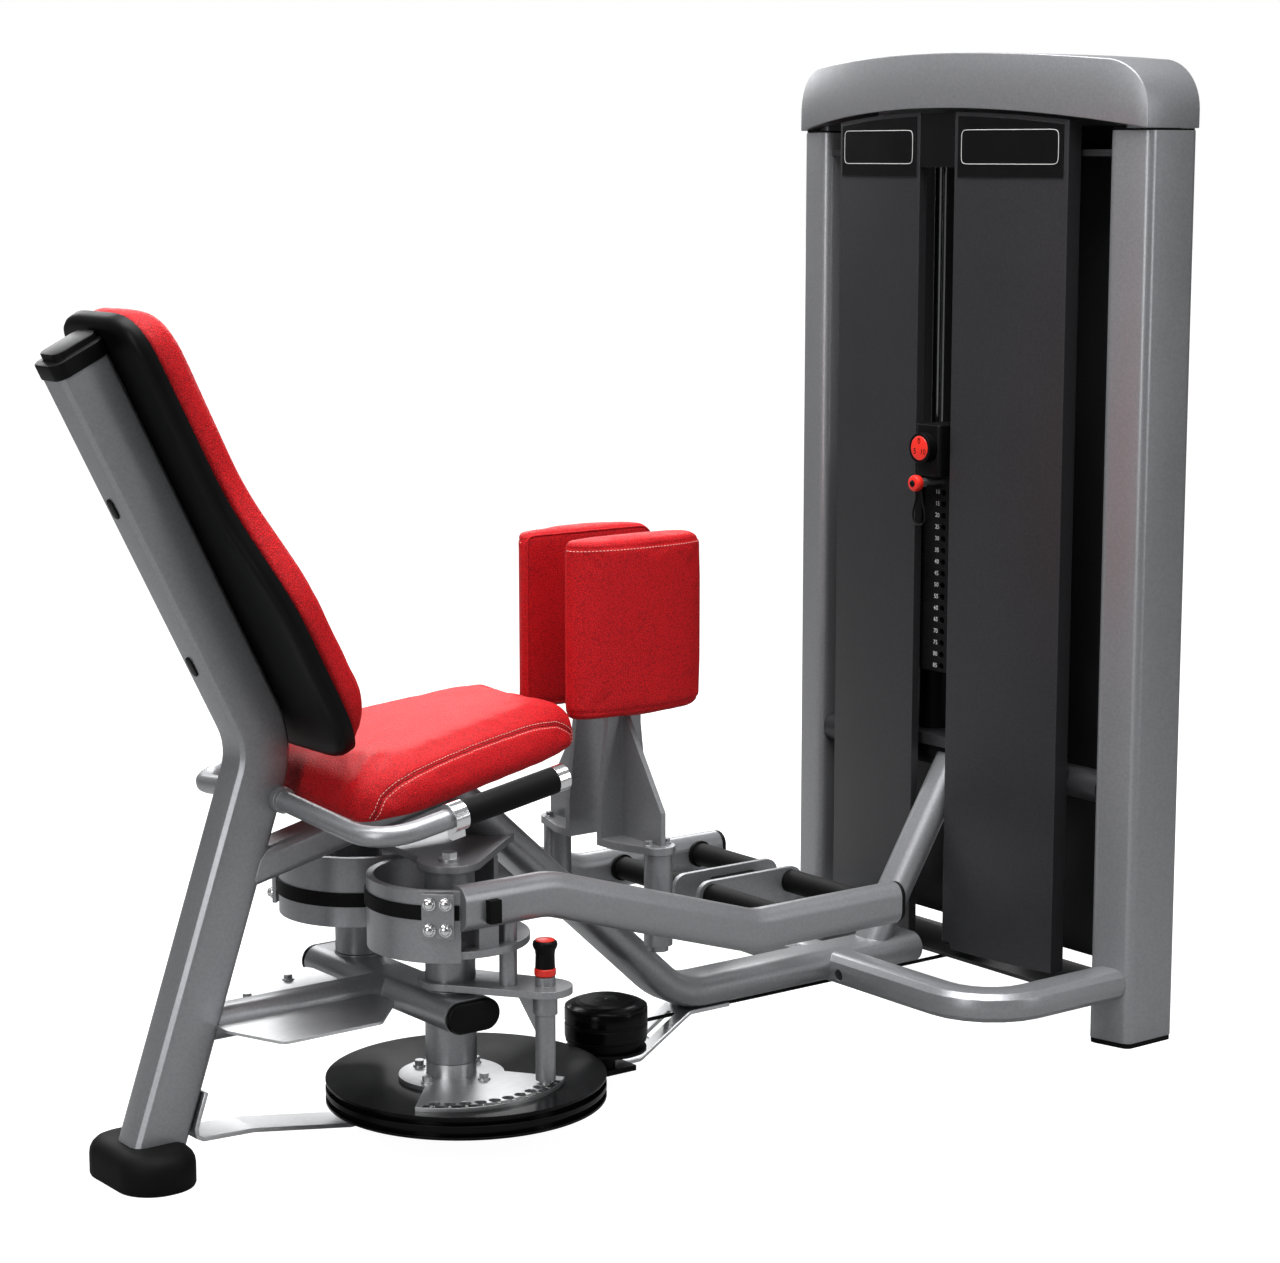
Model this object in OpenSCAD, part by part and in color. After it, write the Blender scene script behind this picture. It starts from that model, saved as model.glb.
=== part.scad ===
// Hip abduction and adduction machine with selectorised weight stack.
// X points from the seat to the tower, Y to the user's left, Z up. Units are millimetres.

/* [Rear column] */
// Width of the rear upright tube
upright_w = 62; // [58:1:64]
// Depth of the rear upright tube
upright_d = 80; // [76:1:82]
// Height of the rubber rear foot
foot_h = 52; // [48:1:56]

/* [Seat and back] */
// Tilt of the seat, front up
seat_tilt = 7.5; // [6.5:0.5:8]
// Thickness of the seat pad
seat_t = 62; // [56:1:66]
// Half width of the seat at the rear
seat_half = 190; // [180:1:196]
// Half width of the back pad at the shoulders
back_top_half = 106; // [98:1:110]
// Half width of the back pad at the lumbar end
back_low_half = 162; // [150:1:166]
// Thickness of the back pad
back_t = 46; // [40:1:50]

/* [Arms] */
// Width of the flat-oval arm tube
arm_w = 42; // [38:1:44]
// Height of the flat-oval arm tube
arm_h = 64; // [58:1:66]
// Distance of each hub axis from the mid plane
hub_y = 119.5; // [119:0.5:121]
// Outer radius of the drum band
drum_r = 115; // [112:0.5:115.5]
// Radius of the foot-rest rollers
roller_r = 18; // [16:0.5:20]

/* [Thigh pads] */
// Length of a thigh pad
pad_l = 240; // [228:1:242]
// Height of a thigh pad
pad_h = 262; // [250:1:266]
// Thickness of a thigh pad at its middle
pad_t = 56; // [50:1:60]

/* [Range limiter] */
// Radius of the cam disc
disc_r = 197; // [192:1:199]
// Number of setting holes
hole_count = 10; // [6:1:10]
// Angle between setting holes
hole_step = 8.5; // [7.5:0.5:8.5]

/* [Tower] */
// Half width of the tower
tower_half = 394.5; // [390:0.5:400]
// Height of the crown
crown_top = 1520; // [1512:1:1530]
// Number of weight plates
plate_count = 16; // [12:1:16]
// Pitch of the weight plates
plate_pitch = 18.75; // [18.25:0.25:18.75]
// Distance of each guide rod from the mid plane
guide_y = 75; // [72:1:80]
// Half width of the slot between the shrouds
slot_half = 40; // [38:1:42]

/* [Hidden] */
$fn = 64;

// shift that centres the overall length on the origin
mid_x = 788.55;
// clearance between pieces that sit side by side
gap = 0.3;
// radial clearance of a running fit
fit = 0.05;
eps = 0.01;

paint = [0.42, 0.43, 0.44];
dark = [0.20, 0.20, 0.21];
black = [0.06, 0.06, 0.06];
red = [0.78, 0.08, 0.10];
steel = [0.75, 0.75, 0.76];

// rear upright axis, in the X Z plane
up_foot = [59.5, 30];
up_bend = [246.7, 574.5];
up_top = [-14.5, 1098];
up_r = 110;
up_round = 15;
up_lean = atan2(up_bend[0] - up_top[0], up_top[1] - up_bend[1]);
up_len = norm(up_top - up_bend);
leg_lean = atan2(up_bend[0] - up_foot[0], up_bend[1] - up_foot[1]);

// rear foot
foot_x = 50;
foot_l = 110;
foot_w = 176;
foot_round = 52;
foot_bevel = 12;
foot_bevel_h = 16;
leg_socket_z = 14;

// back rest, measured along the upper part of the upright
back_low_u = -37;
back_top_u = 631;
shell_t = 22;
back_inset = 7;

// seat, measured along the tilted seat
seat_x = 292;
seat_z = 494;
seat_l = 418;
seat_front_half = 138;
seat_base_t = 12;
seat_inset = 24;
seat_skirt = 18;
seat_open = 110;

// spine, seat rail, base bow and brace
spine_w = 85;
spine_h = 48;
spine_z = 103;
spine_bend_x = 952;
spine_top = [530, 489];
spine_r = 120;
rail_w = 60;
rail_h = 46;
rail_a = [190, 400];
rail_b = [545, 483];
bow_x = 1265;
bow_w = 62;
bow_h = 50;
bow_z = 100;
bow_r = 95;

// handles
handle_r = 14;
handle_p0 = [255.8, -35, 501];
handle_v = [276, -250, 476];
handle_p2 = [566, -250, 528];
handle_bend = 62;
grip_r = 18.5;
grip_from = 132;
grip_to = 283;

// flat strap from the rear leg to the underside of the spine
strap_t = 6;
strap_w = 64;
strap_pts = [[133.1, 110.9], [111.3, 47.4], [205, 44], [360, 20], [870, 20], [965, spine_z - spine_h / 2 - strap_t / 2],
    [1040, spine_z - spine_h / 2 - strap_t / 2]];

// hubs
hub_x = 471;
hub_r = 35;
spindle_r = 15;
hub_z0 = 224;
hub_z1 = 391;
plate_z = 393;
plate_t = 10;
cross_x = 460;
cross_z = 198;
cross_l = 186;
cross_w = 86;
cross_h = 46;
boss_z0 = 119;

// arms, in the X Z plane at a constant Y
arm_y = 216;
arm_pts = [[420, 360], [568, 360], [930, 249], [1208, 249]];
arm_bend = 120;
drum_z0 = 286;
drum_z1 = 386;
drum_t = 10;
belt_t = 3;
belt_w = 20;
belt_hi = 356;
belt_lo = 326;
post_x = 830;
post_y = 126;
post_r = 21;
post_pin_r = 10;
post_z0 = 226;
post_z1 = 362;
step_y = 30;
step_t = 8;
roller_x = [1003, 1158];
roller_z = 254;

// limiter
pin_x = 549;
pin_y = -237;
lever_z = 227;
lever_t = 10;
pin_r = 8;
disc_x = 496;
disc_z0 = 60;
disc_z1 = 92;
sector_t = 6;
sector_r = 160;
sector_z1 = disc_z1 + sector_t;
hole_r = norm([pin_x - hub_x, pin_y + hub_y]);
hole_a = atan2(pin_y + hub_y, pin_x - hub_x);
groove_z = [68, 84];
groove_d = 9;
groove_w = 9;

// tower plan: a circle bows the front towards the seat
tower_rear = 1639;
tower_depth = 165;
front_x = tower_rear - tower_depth;
bow_front_r = 1265;
bow_cx = front_x + bow_front_r;
col_w = 74.5;
col_in = tower_half - col_w;
col_d = 120;
col_slant = 18;
stack_back = 86;
tube_r = 25;
stack_x = tower_rear - stack_back;
spine_end_x = front_x - 44;
bow_y = tower_half - 37.5;
bow_end_x = stack_x + 7;
shelf_z = 423;
shelf_t = 12;
brace_a = [spine_end_x - 78, 111];
brace_b = [stack_x - 23, shelf_z - 27];
placard_z = crown_top - 190;
base_plate_z = 74;
base_plate_t = 6;
pulley_bay = 46;

// cable and pulleys
cable_r = 3;
cable_z = 68;
redirect_x = 788;
cover_h = 46;
redirect_r = 54;
redirect_y = -redirect_r;
tower_pulley_r = 38;
pulley_t = 18;
axle_r = 6;
pulley_x = stack_x + tower_pulley_r;
foot_pulley_z = cable_z + tower_pulley_r;
head_pulley_z = crown_top - 144;

col_round = 14;
spigot_inset = 18;
col_foot = 8;
shroud_out = col_in - 60;
col_top = crown_top - 120;
crown_gap = 3;
arch_mid = crown_top - 84;
arch_drop = 33;
crown_drop = 14;
shoulder = 75;
sheet = 3;
crown_wall = 6;
panel_x = tower_rear - crown_wall - 1 - sheet;
shroud_z0 = 98;

// weight stack
stack_depth = 106;
stack_half = 140;
stack_top = 841;
head_t = 19;
guide_r = 10;
rod_r = 11;
top_plate_z = crown_top - 158;
top_plate_t = 10;
addon_x = stack_x - 91;
dial_z = stack_top + 65;
dial_t = 16;
dial_r = 24;
knob_x = stack_x - 121;

// joints of the pads
pad_back = 44.3;
pad_z0 = 560;
pad_ahead = 6;
bracket_t = 10;
bracket_low = 87;
bracket_top = 60;
gusset_t = 8;

function bearing(a, b) = atan2(b[1] - a[1], b[0] - a[0]);
function turn(a) = a > 180 ? a - 360 : (a < -180 ? a + 360 : a);
function along(a, deg, d) = [a[0] + d * cos(deg), a[1] + d * sin(deg)];
function unit(v) = v / norm(v);
// angles that carry the X Y plane onto the plane of two directions
function plane_angles(d1, d2) =
    let (x = unit(d1), z = unit(cross(d1, d2)), y = cross(z, x))
    [atan2(y[2], z[2]), -asin(x[2]), atan2(x[1], x[0])];
// corner of a polygon replaced by an arc of points
function arc_pts(p, a, b, r, n) =
    let (u = unit(a - p), v = unit(b - p), half = acos(u * v) / 2, t = r / tan(half),
        c = p + unit(u + v) * r / sin(half), s = p + u * t, e = p + v * t,
        a0 = bearing(c, s), da = turn(bearing(c, e) - a0))
    [for (i = [0:n]) along(c, a0 + da * i / n, r)];
function rounded(pts, r, n = 6) =
    let (m = len(pts))
    [for (i = [0:m - 1]) each arc_pts(pts[i], pts[(i + m - 1) % m], pts[(i + 1) % m], r, n)];
function arch_z(y) = arch_mid - arch_drop * pow(y / tower_half, 2);

module place() {
    translate([-mid_x, 0, 0])
    children();
}

module xz() {
    rotate([90, 0, 0])
    children();
}

module sides() {
    children();
    mirror([0, 1, 0])
    children();
}

module round_rect(w, h, r) {
    square([w - 2 * r, h], center = true);
    square([w, h - 2 * r], center = true);
    for (x = [-1, 1], y = [-1, 1])
        translate([x * (w / 2 - r), y * (h / 2 - r)])
        circle(r);
}

module oval(w, h) {
    r = min(w, h) / 2;
    if (w > h)
        square([w - 2 * r, h], center = true);
    else
        square([w, h - 2 * r], center = true);
    for (s = [-1, 1])
        translate([w > h ? s * (w / 2 - r) : 0, w > h ? 0 : s * (h / 2 - r)])
        circle(r);
}

// planar path whose corners are made of short straight steps
function stepped(pts, r, n) = let (m = len(pts)) concat([pts[0]],
    [for (i = [1:1:m - 2]) each arc_pts(pts[i], pts[i - 1], pts[i + 1], r, n)], [pts[m - 1]]);

// closed outlines of tube sections, first across the bend and then out of its plane
function ring_rect(w, h, r, k = 4) = [for (q = [[1, 1, 0], [-1, 1, 90], [-1, -1, 180], [1, -1, 270]], i = [0:k - 1])
    [q[0] * (w / 2 - r) + r * cos(q[2] + 90 * i / (k - 1)), q[1] * (h / 2 - r) + r * sin(q[2] + 90 * i / (k - 1))]];
function ring_oval(w, h, k = 10) = let (r = min(w, h) / 2, tall = h > w, far = max(w, h) / 2 - r)
    [for (s = [0, 180], i = [0:k]) let (a = s + (tall ? 0 : -90) + 180 * i / k, c = far * (s == 0 ? 1 : -1))
        [r * cos(a) + (tall ? 0 : c), r * sin(a) + (tall ? c : 0)]];
function ring_round(r, k = 24) = [for (i = [0:k - 1]) [r * cos(360 * i / k), r * sin(360 * i / k)]];

// a tube bent along a planar path, with mitred steps round each corner
module bent(ring, pts, r, n = 6) {
    path = stepped(pts, r, n);
    m = len(path);
    k = len(ring);
    heads = [for (i = [0:m - 2]) bearing(path[i], path[i + 1])];
    half_turn = [for (i = [0:m - 1]) i == 0 || i == m - 1 ? 0 : turn(heads[i] - heads[i - 1]) / 2];
    side = [for (i = [0:m - 1]) heads[min(i, m - 2)] - half_turn[i] + 90];
    corners = [for (i = [0:m - 1], q = ring)
        let (p = along(path[i], side[i], q[0] / cos(half_turn[i]))) [p[0], p[1], q[1]]];
    walls = [for (i = [0:m - 2], j = [0:k - 1])
        [i * k + j, (i + 1) * k + j, (i + 1) * k + (j + 1) % k, i * k + (j + 1) % k]];
    ends = [[for (j = [0:k - 1]) j], [for (j = [k - 1:-1:0]) (m - 1) * k + j]];
    polyhedron(corners, concat(walls, ends));
}

// a straight bar between two points of a plane
module bar(a, b) {
    translate(a)
    rotate([0, 0, bearing(a, b)])
    rotate([90, 0, 90])
    linear_extrude(norm(b - a))
    children();
}

module rod(a, b, r) {
    d = b - a;
    translate(a)
    rotate([0, acos(d[2] / norm(d)), atan2(d[1], d[0])])
    cylinder(h = norm(d), r = r);
}

module hex_bolt(r, h) {
    cylinder(h = h * 0.25, r = r * 1.25);
    cylinder(h = h, r = r, $fn = 6);
}

// frame of the upper upright: X forward of the tube axis, Z up along it
module recline() {
    translate([up_bend[0], 0, up_bend[1]])
    rotate([0, -up_lean, 0])
    children();
}

// frame of the seat: X forward along the seat, Z out of it
module on_seat() {
    translate([seat_x, 0, seat_z])
    rotate([0, -seat_tilt, 0])
    children();
}

module upright_solid(grow = 0) {
    xz()
    bent(ring_rect(upright_d + 2 * grow, upright_w + 2 * grow, up_round + grow), [up_foot, up_bend, up_top], up_r);
}

module rear_upright() {
    color(paint)
    place()
    upright_solid();
}

module rear_foot() {
    color(black)
    place()
    difference() {
        translate([foot_x, 0, 0]) {
            linear_extrude(foot_h - foot_bevel_h)
            round_rect(foot_l, foot_w, foot_round);
            translate([0, 0, foot_h - foot_bevel_h])
            foot_bevel_top();
        }
        translate([up_foot[0], 0, up_foot[1]])
        rotate([0, leg_lean, 0])
        translate([0, 0, -gap])
        linear_extrude(foot_h + foot_l)
        round_rect(upright_d + 2 * gap, upright_w + 2 * gap, up_round + gap);
    }
}

module foot_bevel_top() {
    lx = foot_l / 2;
    ly = foot_w / 2;
    xz()
    linear_extrude(foot_w - 2 * foot_round, center = true)
    polygon([[-lx, 0], [lx, 0], [lx - foot_bevel, foot_bevel_h], [foot_bevel - lx, foot_bevel_h]]);
    rotate([90, 0, 90])
    linear_extrude(foot_l - 2 * foot_round, center = true)
    polygon([[-ly, 0], [ly, 0], [ly - foot_bevel, foot_bevel_h], [foot_bevel - ly, foot_bevel_h]]);
    for (x = [-1, 1], y = [-1, 1])
        translate([x * (lx - foot_round), y * (ly - foot_round), 0])
        cylinder(h = foot_bevel_h, r1 = foot_round, r2 = foot_round - foot_bevel);
}

module upright_cap() {
    color(black)
    place() {
        recline()
        translate([0, 0, up_len])
        cap_body();
        recline()
        for (u = [150, 395])
            translate([-upright_d / 2, 0, u])
            rotate([0, -90, 0])
            linear_extrude(3)
            oval(30, 16);
    }
}

module cap_body() {
    linear_extrude(22)
    round_rect(upright_d + 4, upright_w + 4, up_round + 2);
    translate([4, 0, 22])
    linear_extrude(10)
    round_rect(upright_d - 12, upright_w - 8, up_round);
}

// outline of the back rest, first axis up, second axis across
function back_side(inset) = let (lo = back_low_half - inset, hi = back_top_half - inset, u0 = 170, u1 = 390)
    [for (i = [0:10]) [u0 + (u1 - u0) * i / 10, lo + (hi - lo) * (1 - cos(18 * i)) / 2]];
function back_corner(u, w, r, a0) = [for (i = [0:6]) [u + r * cos(a0 + 15 * i), w - r + r * sin(a0 + 15 * i)]];
function back_half(inset) = concat(
    [for (i = [6:-1:0]) back_corner(back_low_u + inset + 60, back_low_half - inset, 60, 90)[i]],
    back_side(inset),
    [for (i = [6:-1:0]) back_corner(back_top_u - inset - 45, back_top_half - inset, 45, 0)[i]]);
function mirrored(pts) = [for (i = [len(pts) - 1:-1:0]) [pts[i][0], -pts[i][1]]];

module back_slab(inset, n0, t) {
    half = back_half(inset);
    recline()
    translate([n0, 0, 0])
    rotate([0, -90, 0])
    mirror([0, 0, 1])
    linear_extrude(t)
    polygon(concat(half, mirrored(half)));
}

module back_shell() {
    color(black)
    place()
    difference() {
        back_slab(0, upright_d / 2, shell_t);
        upright_solid();
        recline()
        translate([0, 0, up_len - gap])
        linear_extrude(40)
        round_rect(upright_d + 4 + 2 * gap, upright_w + 4 + 2 * gap, up_round + 2);
    }
}

module back_pad() {
    color(red)
    place()
    back_slab(back_inset, upright_d / 2 + shell_t + gap, back_t);
}

module seat_outline(inset) {
    w0 = seat_half - inset;
    w1 = seat_front_half - inset;
    f = seat_l - inset;
    polygon(rounded([[inset, -w0 + 26], [inset + 90, -w0], [f - 75, -w1], [f, -w1 + 34],
        [f, w1 - 34], [f - 75, w1], [inset + 90, w0], [inset, w0 - 26]], 30));
}

module seat_pad() {
    color(red)
    place()
    difference() {
        on_seat()
        translate([0, 0, -seat_skirt])
        linear_extrude(seat_t + seat_skirt)
        seat_outline(0);
        on_seat()
        translate([0, 0, -seat_skirt - 1])
        linear_extrude(seat_skirt + 1) {
            seat_outline(seat_inset - gap);
            translate([-1, -seat_open])
            square([2 * seat_inset, 2 * seat_open]);
        }
        upright_solid(gap);
    }
}

module seat_base() {
    color(black)
    place()
    difference() {
        on_seat()
        translate([0, 0, -seat_base_t - gap])
        linear_extrude(seat_base_t)
        seat_outline(seat_inset);
        upright_solid(gap);
    }
}

module spine_solid() {
    xz()
    bent(ring_oval(spine_h, spine_w), [spine_top, [spine_bend_x, spine_z], [spine_end_x, spine_z]], spine_r);
}

module main_frame() {
    color(paint)
    place()
    difference() {
        union() {
            spine_solid();
            xz()
            bar(rail_a, rail_b)
            round_rect(rail_h, rail_w, 12);
            on_seat()
            translate([40, -60, -seat_base_t - gap - 6])
            cube([250, 120, 6]);
            translate([330, -20, 425])
            cube([220, 40, 90]);
            sides()
            bow_half();
            xz()
            bar(brace_a, brace_b)
            oval(44, 60);
        }
        upright_solid();
        on_seat()
        translate([-60, -200, -seat_base_t - gap])
        cube([600, 400, 100]);
        stack_tube();
        sides()
        translate([bow_x - bow_w, -62, bow_z - 4])
        rotate([0, 90, 0])
        cylinder(h = bow_w, r = 9);
        sides()
        column_solid();
    }
}

module bow_half() {
    translate([0, 0, bow_z])
    bent(ring_rect(bow_w, bow_h, 22), [[bow_x, -10], [bow_x, -bow_y], [bow_end_x, -bow_y]], bow_r);
}

// one bent handle tube and the pieces that slide on its straight end
module on_handle() {
    d1 = handle_v - handle_p0;
    d2 = handle_p2 - handle_v;
    translate(handle_p0)
    rotate(plane_angles(d1, d2))
    children();
}

function handle_path() = let (d1 = handle_v - handle_p0, d2 = handle_p2 - handle_v, l1 = norm(d1), l2 = norm(d2),
    a = acos(d1 * d2 / (l1 * l2))) [[0, 0], [l1, 0], along([l1, 0], a, l2)];

// frame of the straight end: X along the grip, from the bend corner
module on_grip() {
    p = handle_path();
    on_handle()
    translate(p[1])
    rotate([0, 0, bearing(p[1], p[2])])
    rotate([0, 90, 0])
    children();
}

module handles() {
    color(paint)
    place()
    sides() {
        on_handle()
        bent(ring_round(handle_r), handle_path(), handle_bend);
        translate([handle_p0[0], -upright_w / 2 - gap, handle_p0[2]])
        rotate([90, 0, 0])
        cylinder(h = 12, r = handle_r + 4);
    }
}

module grip_sleeve(from, to, r) {
    on_grip()
    translate([0, 0, from])
    difference() {
        cylinder(h = to - from, r = r);
        translate([0, 0, -eps])
        cylinder(h = to - from + 2 * eps, r = handle_r + fit);
    }
}

module grips() {
    color(black)
    place()
    sides()
    grip_sleeve(grip_from, grip_to, grip_r);
}

module grip_collars() {
    color(steel)
    place()
    sides() {
        grip_sleeve(grip_from - 22, grip_from - gap, grip_r + 2);
        on_grip()
        translate([grip_r - 2, -5, grip_from - 22])
        cube([14, 10, 22 - gap]);
        on_grip()
        translate([0, 0, grip_to + gap])
        difference() {
            cylinder(h = 18, r = grip_r);
            translate([0, 0, -eps])
            cylinder(h = 13, r = handle_r + fit);
        }
    }
}

module hub_plate() {
    color(paint)
    place()
    difference() {
        translate([0, 0, plate_z])
        linear_extrude(plate_t) {
            polygon([[436, -hub_y - 22], [500, -hub_y - 34], [640, -36], [640, 36], [500, hub_y + 34],
                [436, hub_y + 22], [452, 30], [452, -30]]);
            for (s = [-1, 1])
                translate([hub_x, s * hub_y])
                circle(45);
        }
        sides()
        translate([hub_x, -hub_y, 0])
        cylinder(h = crown_top, r = spindle_r + fit);
        spine_solid();
        xz()
        bar(rail_a, rail_b)
        round_rect(rail_h, rail_w, 12);
    }
}

module spindles() {
    color(steel)
    place() {
        translate([hub_x, -hub_y, 52])
        cylinder(h = plate_z + plate_t - 52, r = spindle_r);
        translate([hub_x, hub_y, 160])
        cylinder(h = plate_z + plate_t - 160, r = spindle_r);
        translate([hub_x, -hub_y, 44])
        cylinder(h = 8, r = 26);
    }
}

module t_solid() {
    translate([cross_x, 0, cross_z])
    rotate([90, 0, 0])
    linear_extrude(2 * cross_l, center = true)
    oval(cross_w, cross_h);
    translate([90, 0, cross_z])
    rotate([90, 0, 90])
    linear_extrude(cross_x - 90)
    round_rect(52, cross_h, 20);
    translate([hub_x, -hub_y, boss_z0])
    cylinder(h = hub_z0 - 1 - boss_z0, r = hub_r + 1);
    translate([hub_x, hub_y, 162])
    cylinder(h = hub_z0 - 1 - 162, r = hub_r + 1);
}

module lower_frame() {
    color(paint)
    place()
    difference() {
        t_solid();
        upright_solid();
        sides()
        translate([hub_x, -hub_y, 0])
        cylinder(h = crown_top, r = spindle_r + fit);
    }
}

module cross_caps() {
    color(black)
    place()
    sides()
    translate([cross_x, -cross_l, cross_z])
    rotate([90, 0, 0])
    linear_extrude(11)
    oval(cross_w - 1, cross_h - 1);
}

module guard_wings() {
    color(paint)
    place()
    difference() {
        translate([0, 0, cross_z])
        linear_extrude(4)
        polygon(rounded([[150, -60], [185, -152], [340, -150], [404, -80], [404, 150], [300, 170], [150, 60]], 14));
        t_solid();
        upright_solid();
    }
}

module frame_bolts() {
    color(steel)
    place() {
        sides()
        translate([hub_x, -hub_y, plate_z + plate_t])
        hex_bolt(12, 11);
        for (p = [[250, 60], [345, 110]])
            translate([p[0], p[1], cross_z + 4])
            hex_bolt(7, 8);
    }
}

module tie_strap() {
    color(paint)
    place()
    difference() {
        xz()
        bent(ring_rect(strap_t, strap_w, 1, 2), strap_pts, 12, 2);
        translate([900, -9, 40])
        cube([100, 18, 32]);
    }
}

// plan of a column, drawn in all round by inset
function col_plan(inset, r) = let (x0 = tower_rear - col_d + inset, x1 = tower_rear - inset)
    rounded([[x0, -col_in - inset], [x0 + col_slant, inset - tower_half], [x1, inset - tower_half],
        [x1, -col_in - inset]], r);

module column_solid() {
    translate([0, 0, col_foot])
    linear_extrude(col_top - col_foot)
    polygon(col_plan(0, col_round));
}

module columns() {
    color(paint)
    place()
    sides()
    column_solid();
}

module column_feet() {
    color(black)
    place()
    sides()
    linear_extrude(col_foot)
    polygon(col_plan(1, col_round - 1));
}

function crown_line(inset) = let (w = tower_half - inset, r = shoulder - inset, top = crown_top - inset)
    concat([for (i = [0:12]) [-w + r - r * cos(7.5 * i), top - crown_drop - r + r * sin(7.5 * i)]],
        [for (i = [1:11]) let (y = (w - r) * (i / 6 - 1)) [y, top - crown_drop * pow(y / (w - r), 2)]],
        [for (i = [12:-1:0]) [w - r + r * cos(7.5 * i), top - crown_drop - r + r * sin(7.5 * i)]]);
function arch_line(inset) = [for (i = [0:24]) let (y = (tower_half - inset) * (1 - i / 12)) [y, arch_z(y)]];

module crown_slab(inset, low) {
    translate([front_x - 2 * shoulder, 0, 0])
    rotate([90, 0, 90])
    linear_extrude(tower_depth + 2 * shoulder - inset)
    polygon(concat(crown_line(inset), low));
}

module bow_cylinder(r) {
    translate([bow_cx, 0, 0])
    cylinder(h = 2000, r = r, $fn = 180);
}

module crown() {
    color(paint)
    place() {
        difference() {
            intersection() {
                crown_slab(0, arch_line(0));
                bow_cylinder(bow_front_r + 8);
            }
            intersection() {
                crown_slab(crown_wall, [[tower_half - crown_wall, col_top - 100],
                    [crown_wall - tower_half, col_top - 100]]);
                bow_cylinder(bow_front_r + 2);
                translate([0, -col_in + 4, 0])
                cube([tower_rear - crown_wall, 2 * col_in - 8, 2000]);
            }
        }
        translate([tower_rear - crown_wall, gap - col_in, col_top + gap])
        cube([crown_wall, 2 * (col_in - gap), arch_mid - col_top + crown_wall]);
        sides()
        translate([0, 0, col_top])
        linear_extrude(25)
        polygon(col_plan(spigot_inset, 4));
    }
}

// sheet that follows the bowed front between two heights under the crown arch
module bowed(y0, y1, z0, drop, r0, r1) {
    intersection() {
        difference() {
            bow_cylinder(r1);
            bow_cylinder(r0);
        }
        translate([front_x - sheet - shoulder, 0, 0])
        rotate([90, 0, 90])
        linear_extrude(2 * tower_depth)
        polygon(concat([[y0, z0], [y1, z0]],
            [for (i = [0:8]) let (y = y1 + (y0 - y1) * i / 8) [y, arch_z(y) - drop]]));
    }
}

function bow_front(y) = bow_cx - sqrt(bow_front_r * bow_front_r - y * y);

module front_shrouds() {
    color(dark)
    place()
    sides()
    difference() {
        union() {
            bowed(-shroud_out, -slot_half, shroud_z0, 6, bow_front_r - sheet, bow_front_r);
            translate([bow_front(slot_half) + 1, -slot_half - sheet, shroud_z0])
            cube([14, sheet, arch_z(slot_half) - 8 - shroud_z0]);
            translate([bow_front(shroud_out) + 1, -shroud_out, shroud_z0])
            cube([stack_x - tube_r - gap - bow_front(shroud_out) - 1, sheet, arch_z(shroud_out) - 8 - shroud_z0]);
        }
        translate([front_x - sheet, -slot_half - 8, shroud_z0])
        rotate([0, 90, 0])
        cylinder(h = 90, r = 12);
    }
}

module rear_panels() {
    color(dark)
    place()
    sides()
    translate([panel_x, -col_in + gap, shroud_z0])
    cube([sheet, col_in - gap - pulley_bay, arch_z(col_in) - crown_wall - shroud_z0]);
}

module placards() {
    color(black)
    place() {
        sides()
        bowed(-shroud_out + 8, -slot_half - 8, placard_z, 12, bow_front_r + fit, bow_front_r + 2);
        bowed(-slot_half + 1, slot_half - 1, placard_z + 15, 8, bow_front_r - sheet, bow_front_r);
        translate([front_x + sheet - 0.5, -slot_half + 6, placard_z + 15])
        cube([stack_x - stack_depth / 2 - front_x - sheet, 2 * slot_half - 12, 60]);
    }
}

module stack_tube() {
    translate([stack_x, 0, shelf_z - tube_r])
    rotate([90, 0, 0])
    cylinder(h = 2 * col_in, r = tube_r, center = true);
}

module stack_frame() {
    color(dark)
    place()
    difference() {
        union() {
            difference() {
                stack_tube();
                sides()
                column_solid();
            }
            translate([stack_x - stack_depth / 2 + 3, 10 - stack_half, shelf_z - 6])
            cube([stack_depth - 6, 2 * stack_half - 20, shelf_t + 6]);
            translate([stack_x - guide_r - 9, -col_in, top_plate_z])
            cube([panel_x - gap - stack_x + guide_r + 9, 2 * col_in, top_plate_t]);
            translate([stack_x - stack_depth / 2, -col_in, base_plate_z])
            cube([stack_depth + 20, 2 * col_in, base_plate_t]);
        }
        sides()
        column_solid();
        sides()
        translate([stack_x, guide_y, shelf_z])
        cylinder(h = 2000, r = guide_r + fit);
        for (z = [base_plate_z - 10, top_plate_z - 10])
            translate([stack_x - 16, -pulley_bay / 2, z])
            cube([2 * stack_depth, pulley_bay, 40]);
    }
}

module guide_rods() {
    color(black)
    place()
    sides()
    translate([stack_x, guide_y, shelf_z])
    cylinder(h = top_plate_z + top_plate_t - shelf_z, r = guide_r);
}

module stack_bumpers() {
    color(black)
    place()
    sides()
    translate([stack_x, guide_y, shelf_z + shelf_t])
    difference() {
        cylinder(h = stack_top - plate_count * plate_pitch - shelf_z - shelf_t - 2, r = 22);
        translate([0, 0, -eps])
        cylinder(h = 400, r = guide_r + gap);
    }
}

module stack_plate(t) {
    difference() {
        translate([stack_x - stack_depth / 2, -stack_half, 0])
        cube([stack_depth, 2 * stack_half, t]);
        sides()
        translate([stack_x, guide_y, -1])
        cylinder(h = t + 2, r = guide_r + 1);
        translate([stack_x, 0, -1])
        cylinder(h = t + 2, r = rod_r + 1);
        translate([stack_x - stack_depth, 0, t / 2])
        rotate([0, 90, 0])
        cylinder(h = stack_depth, r = 5.5);
    }
}

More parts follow.
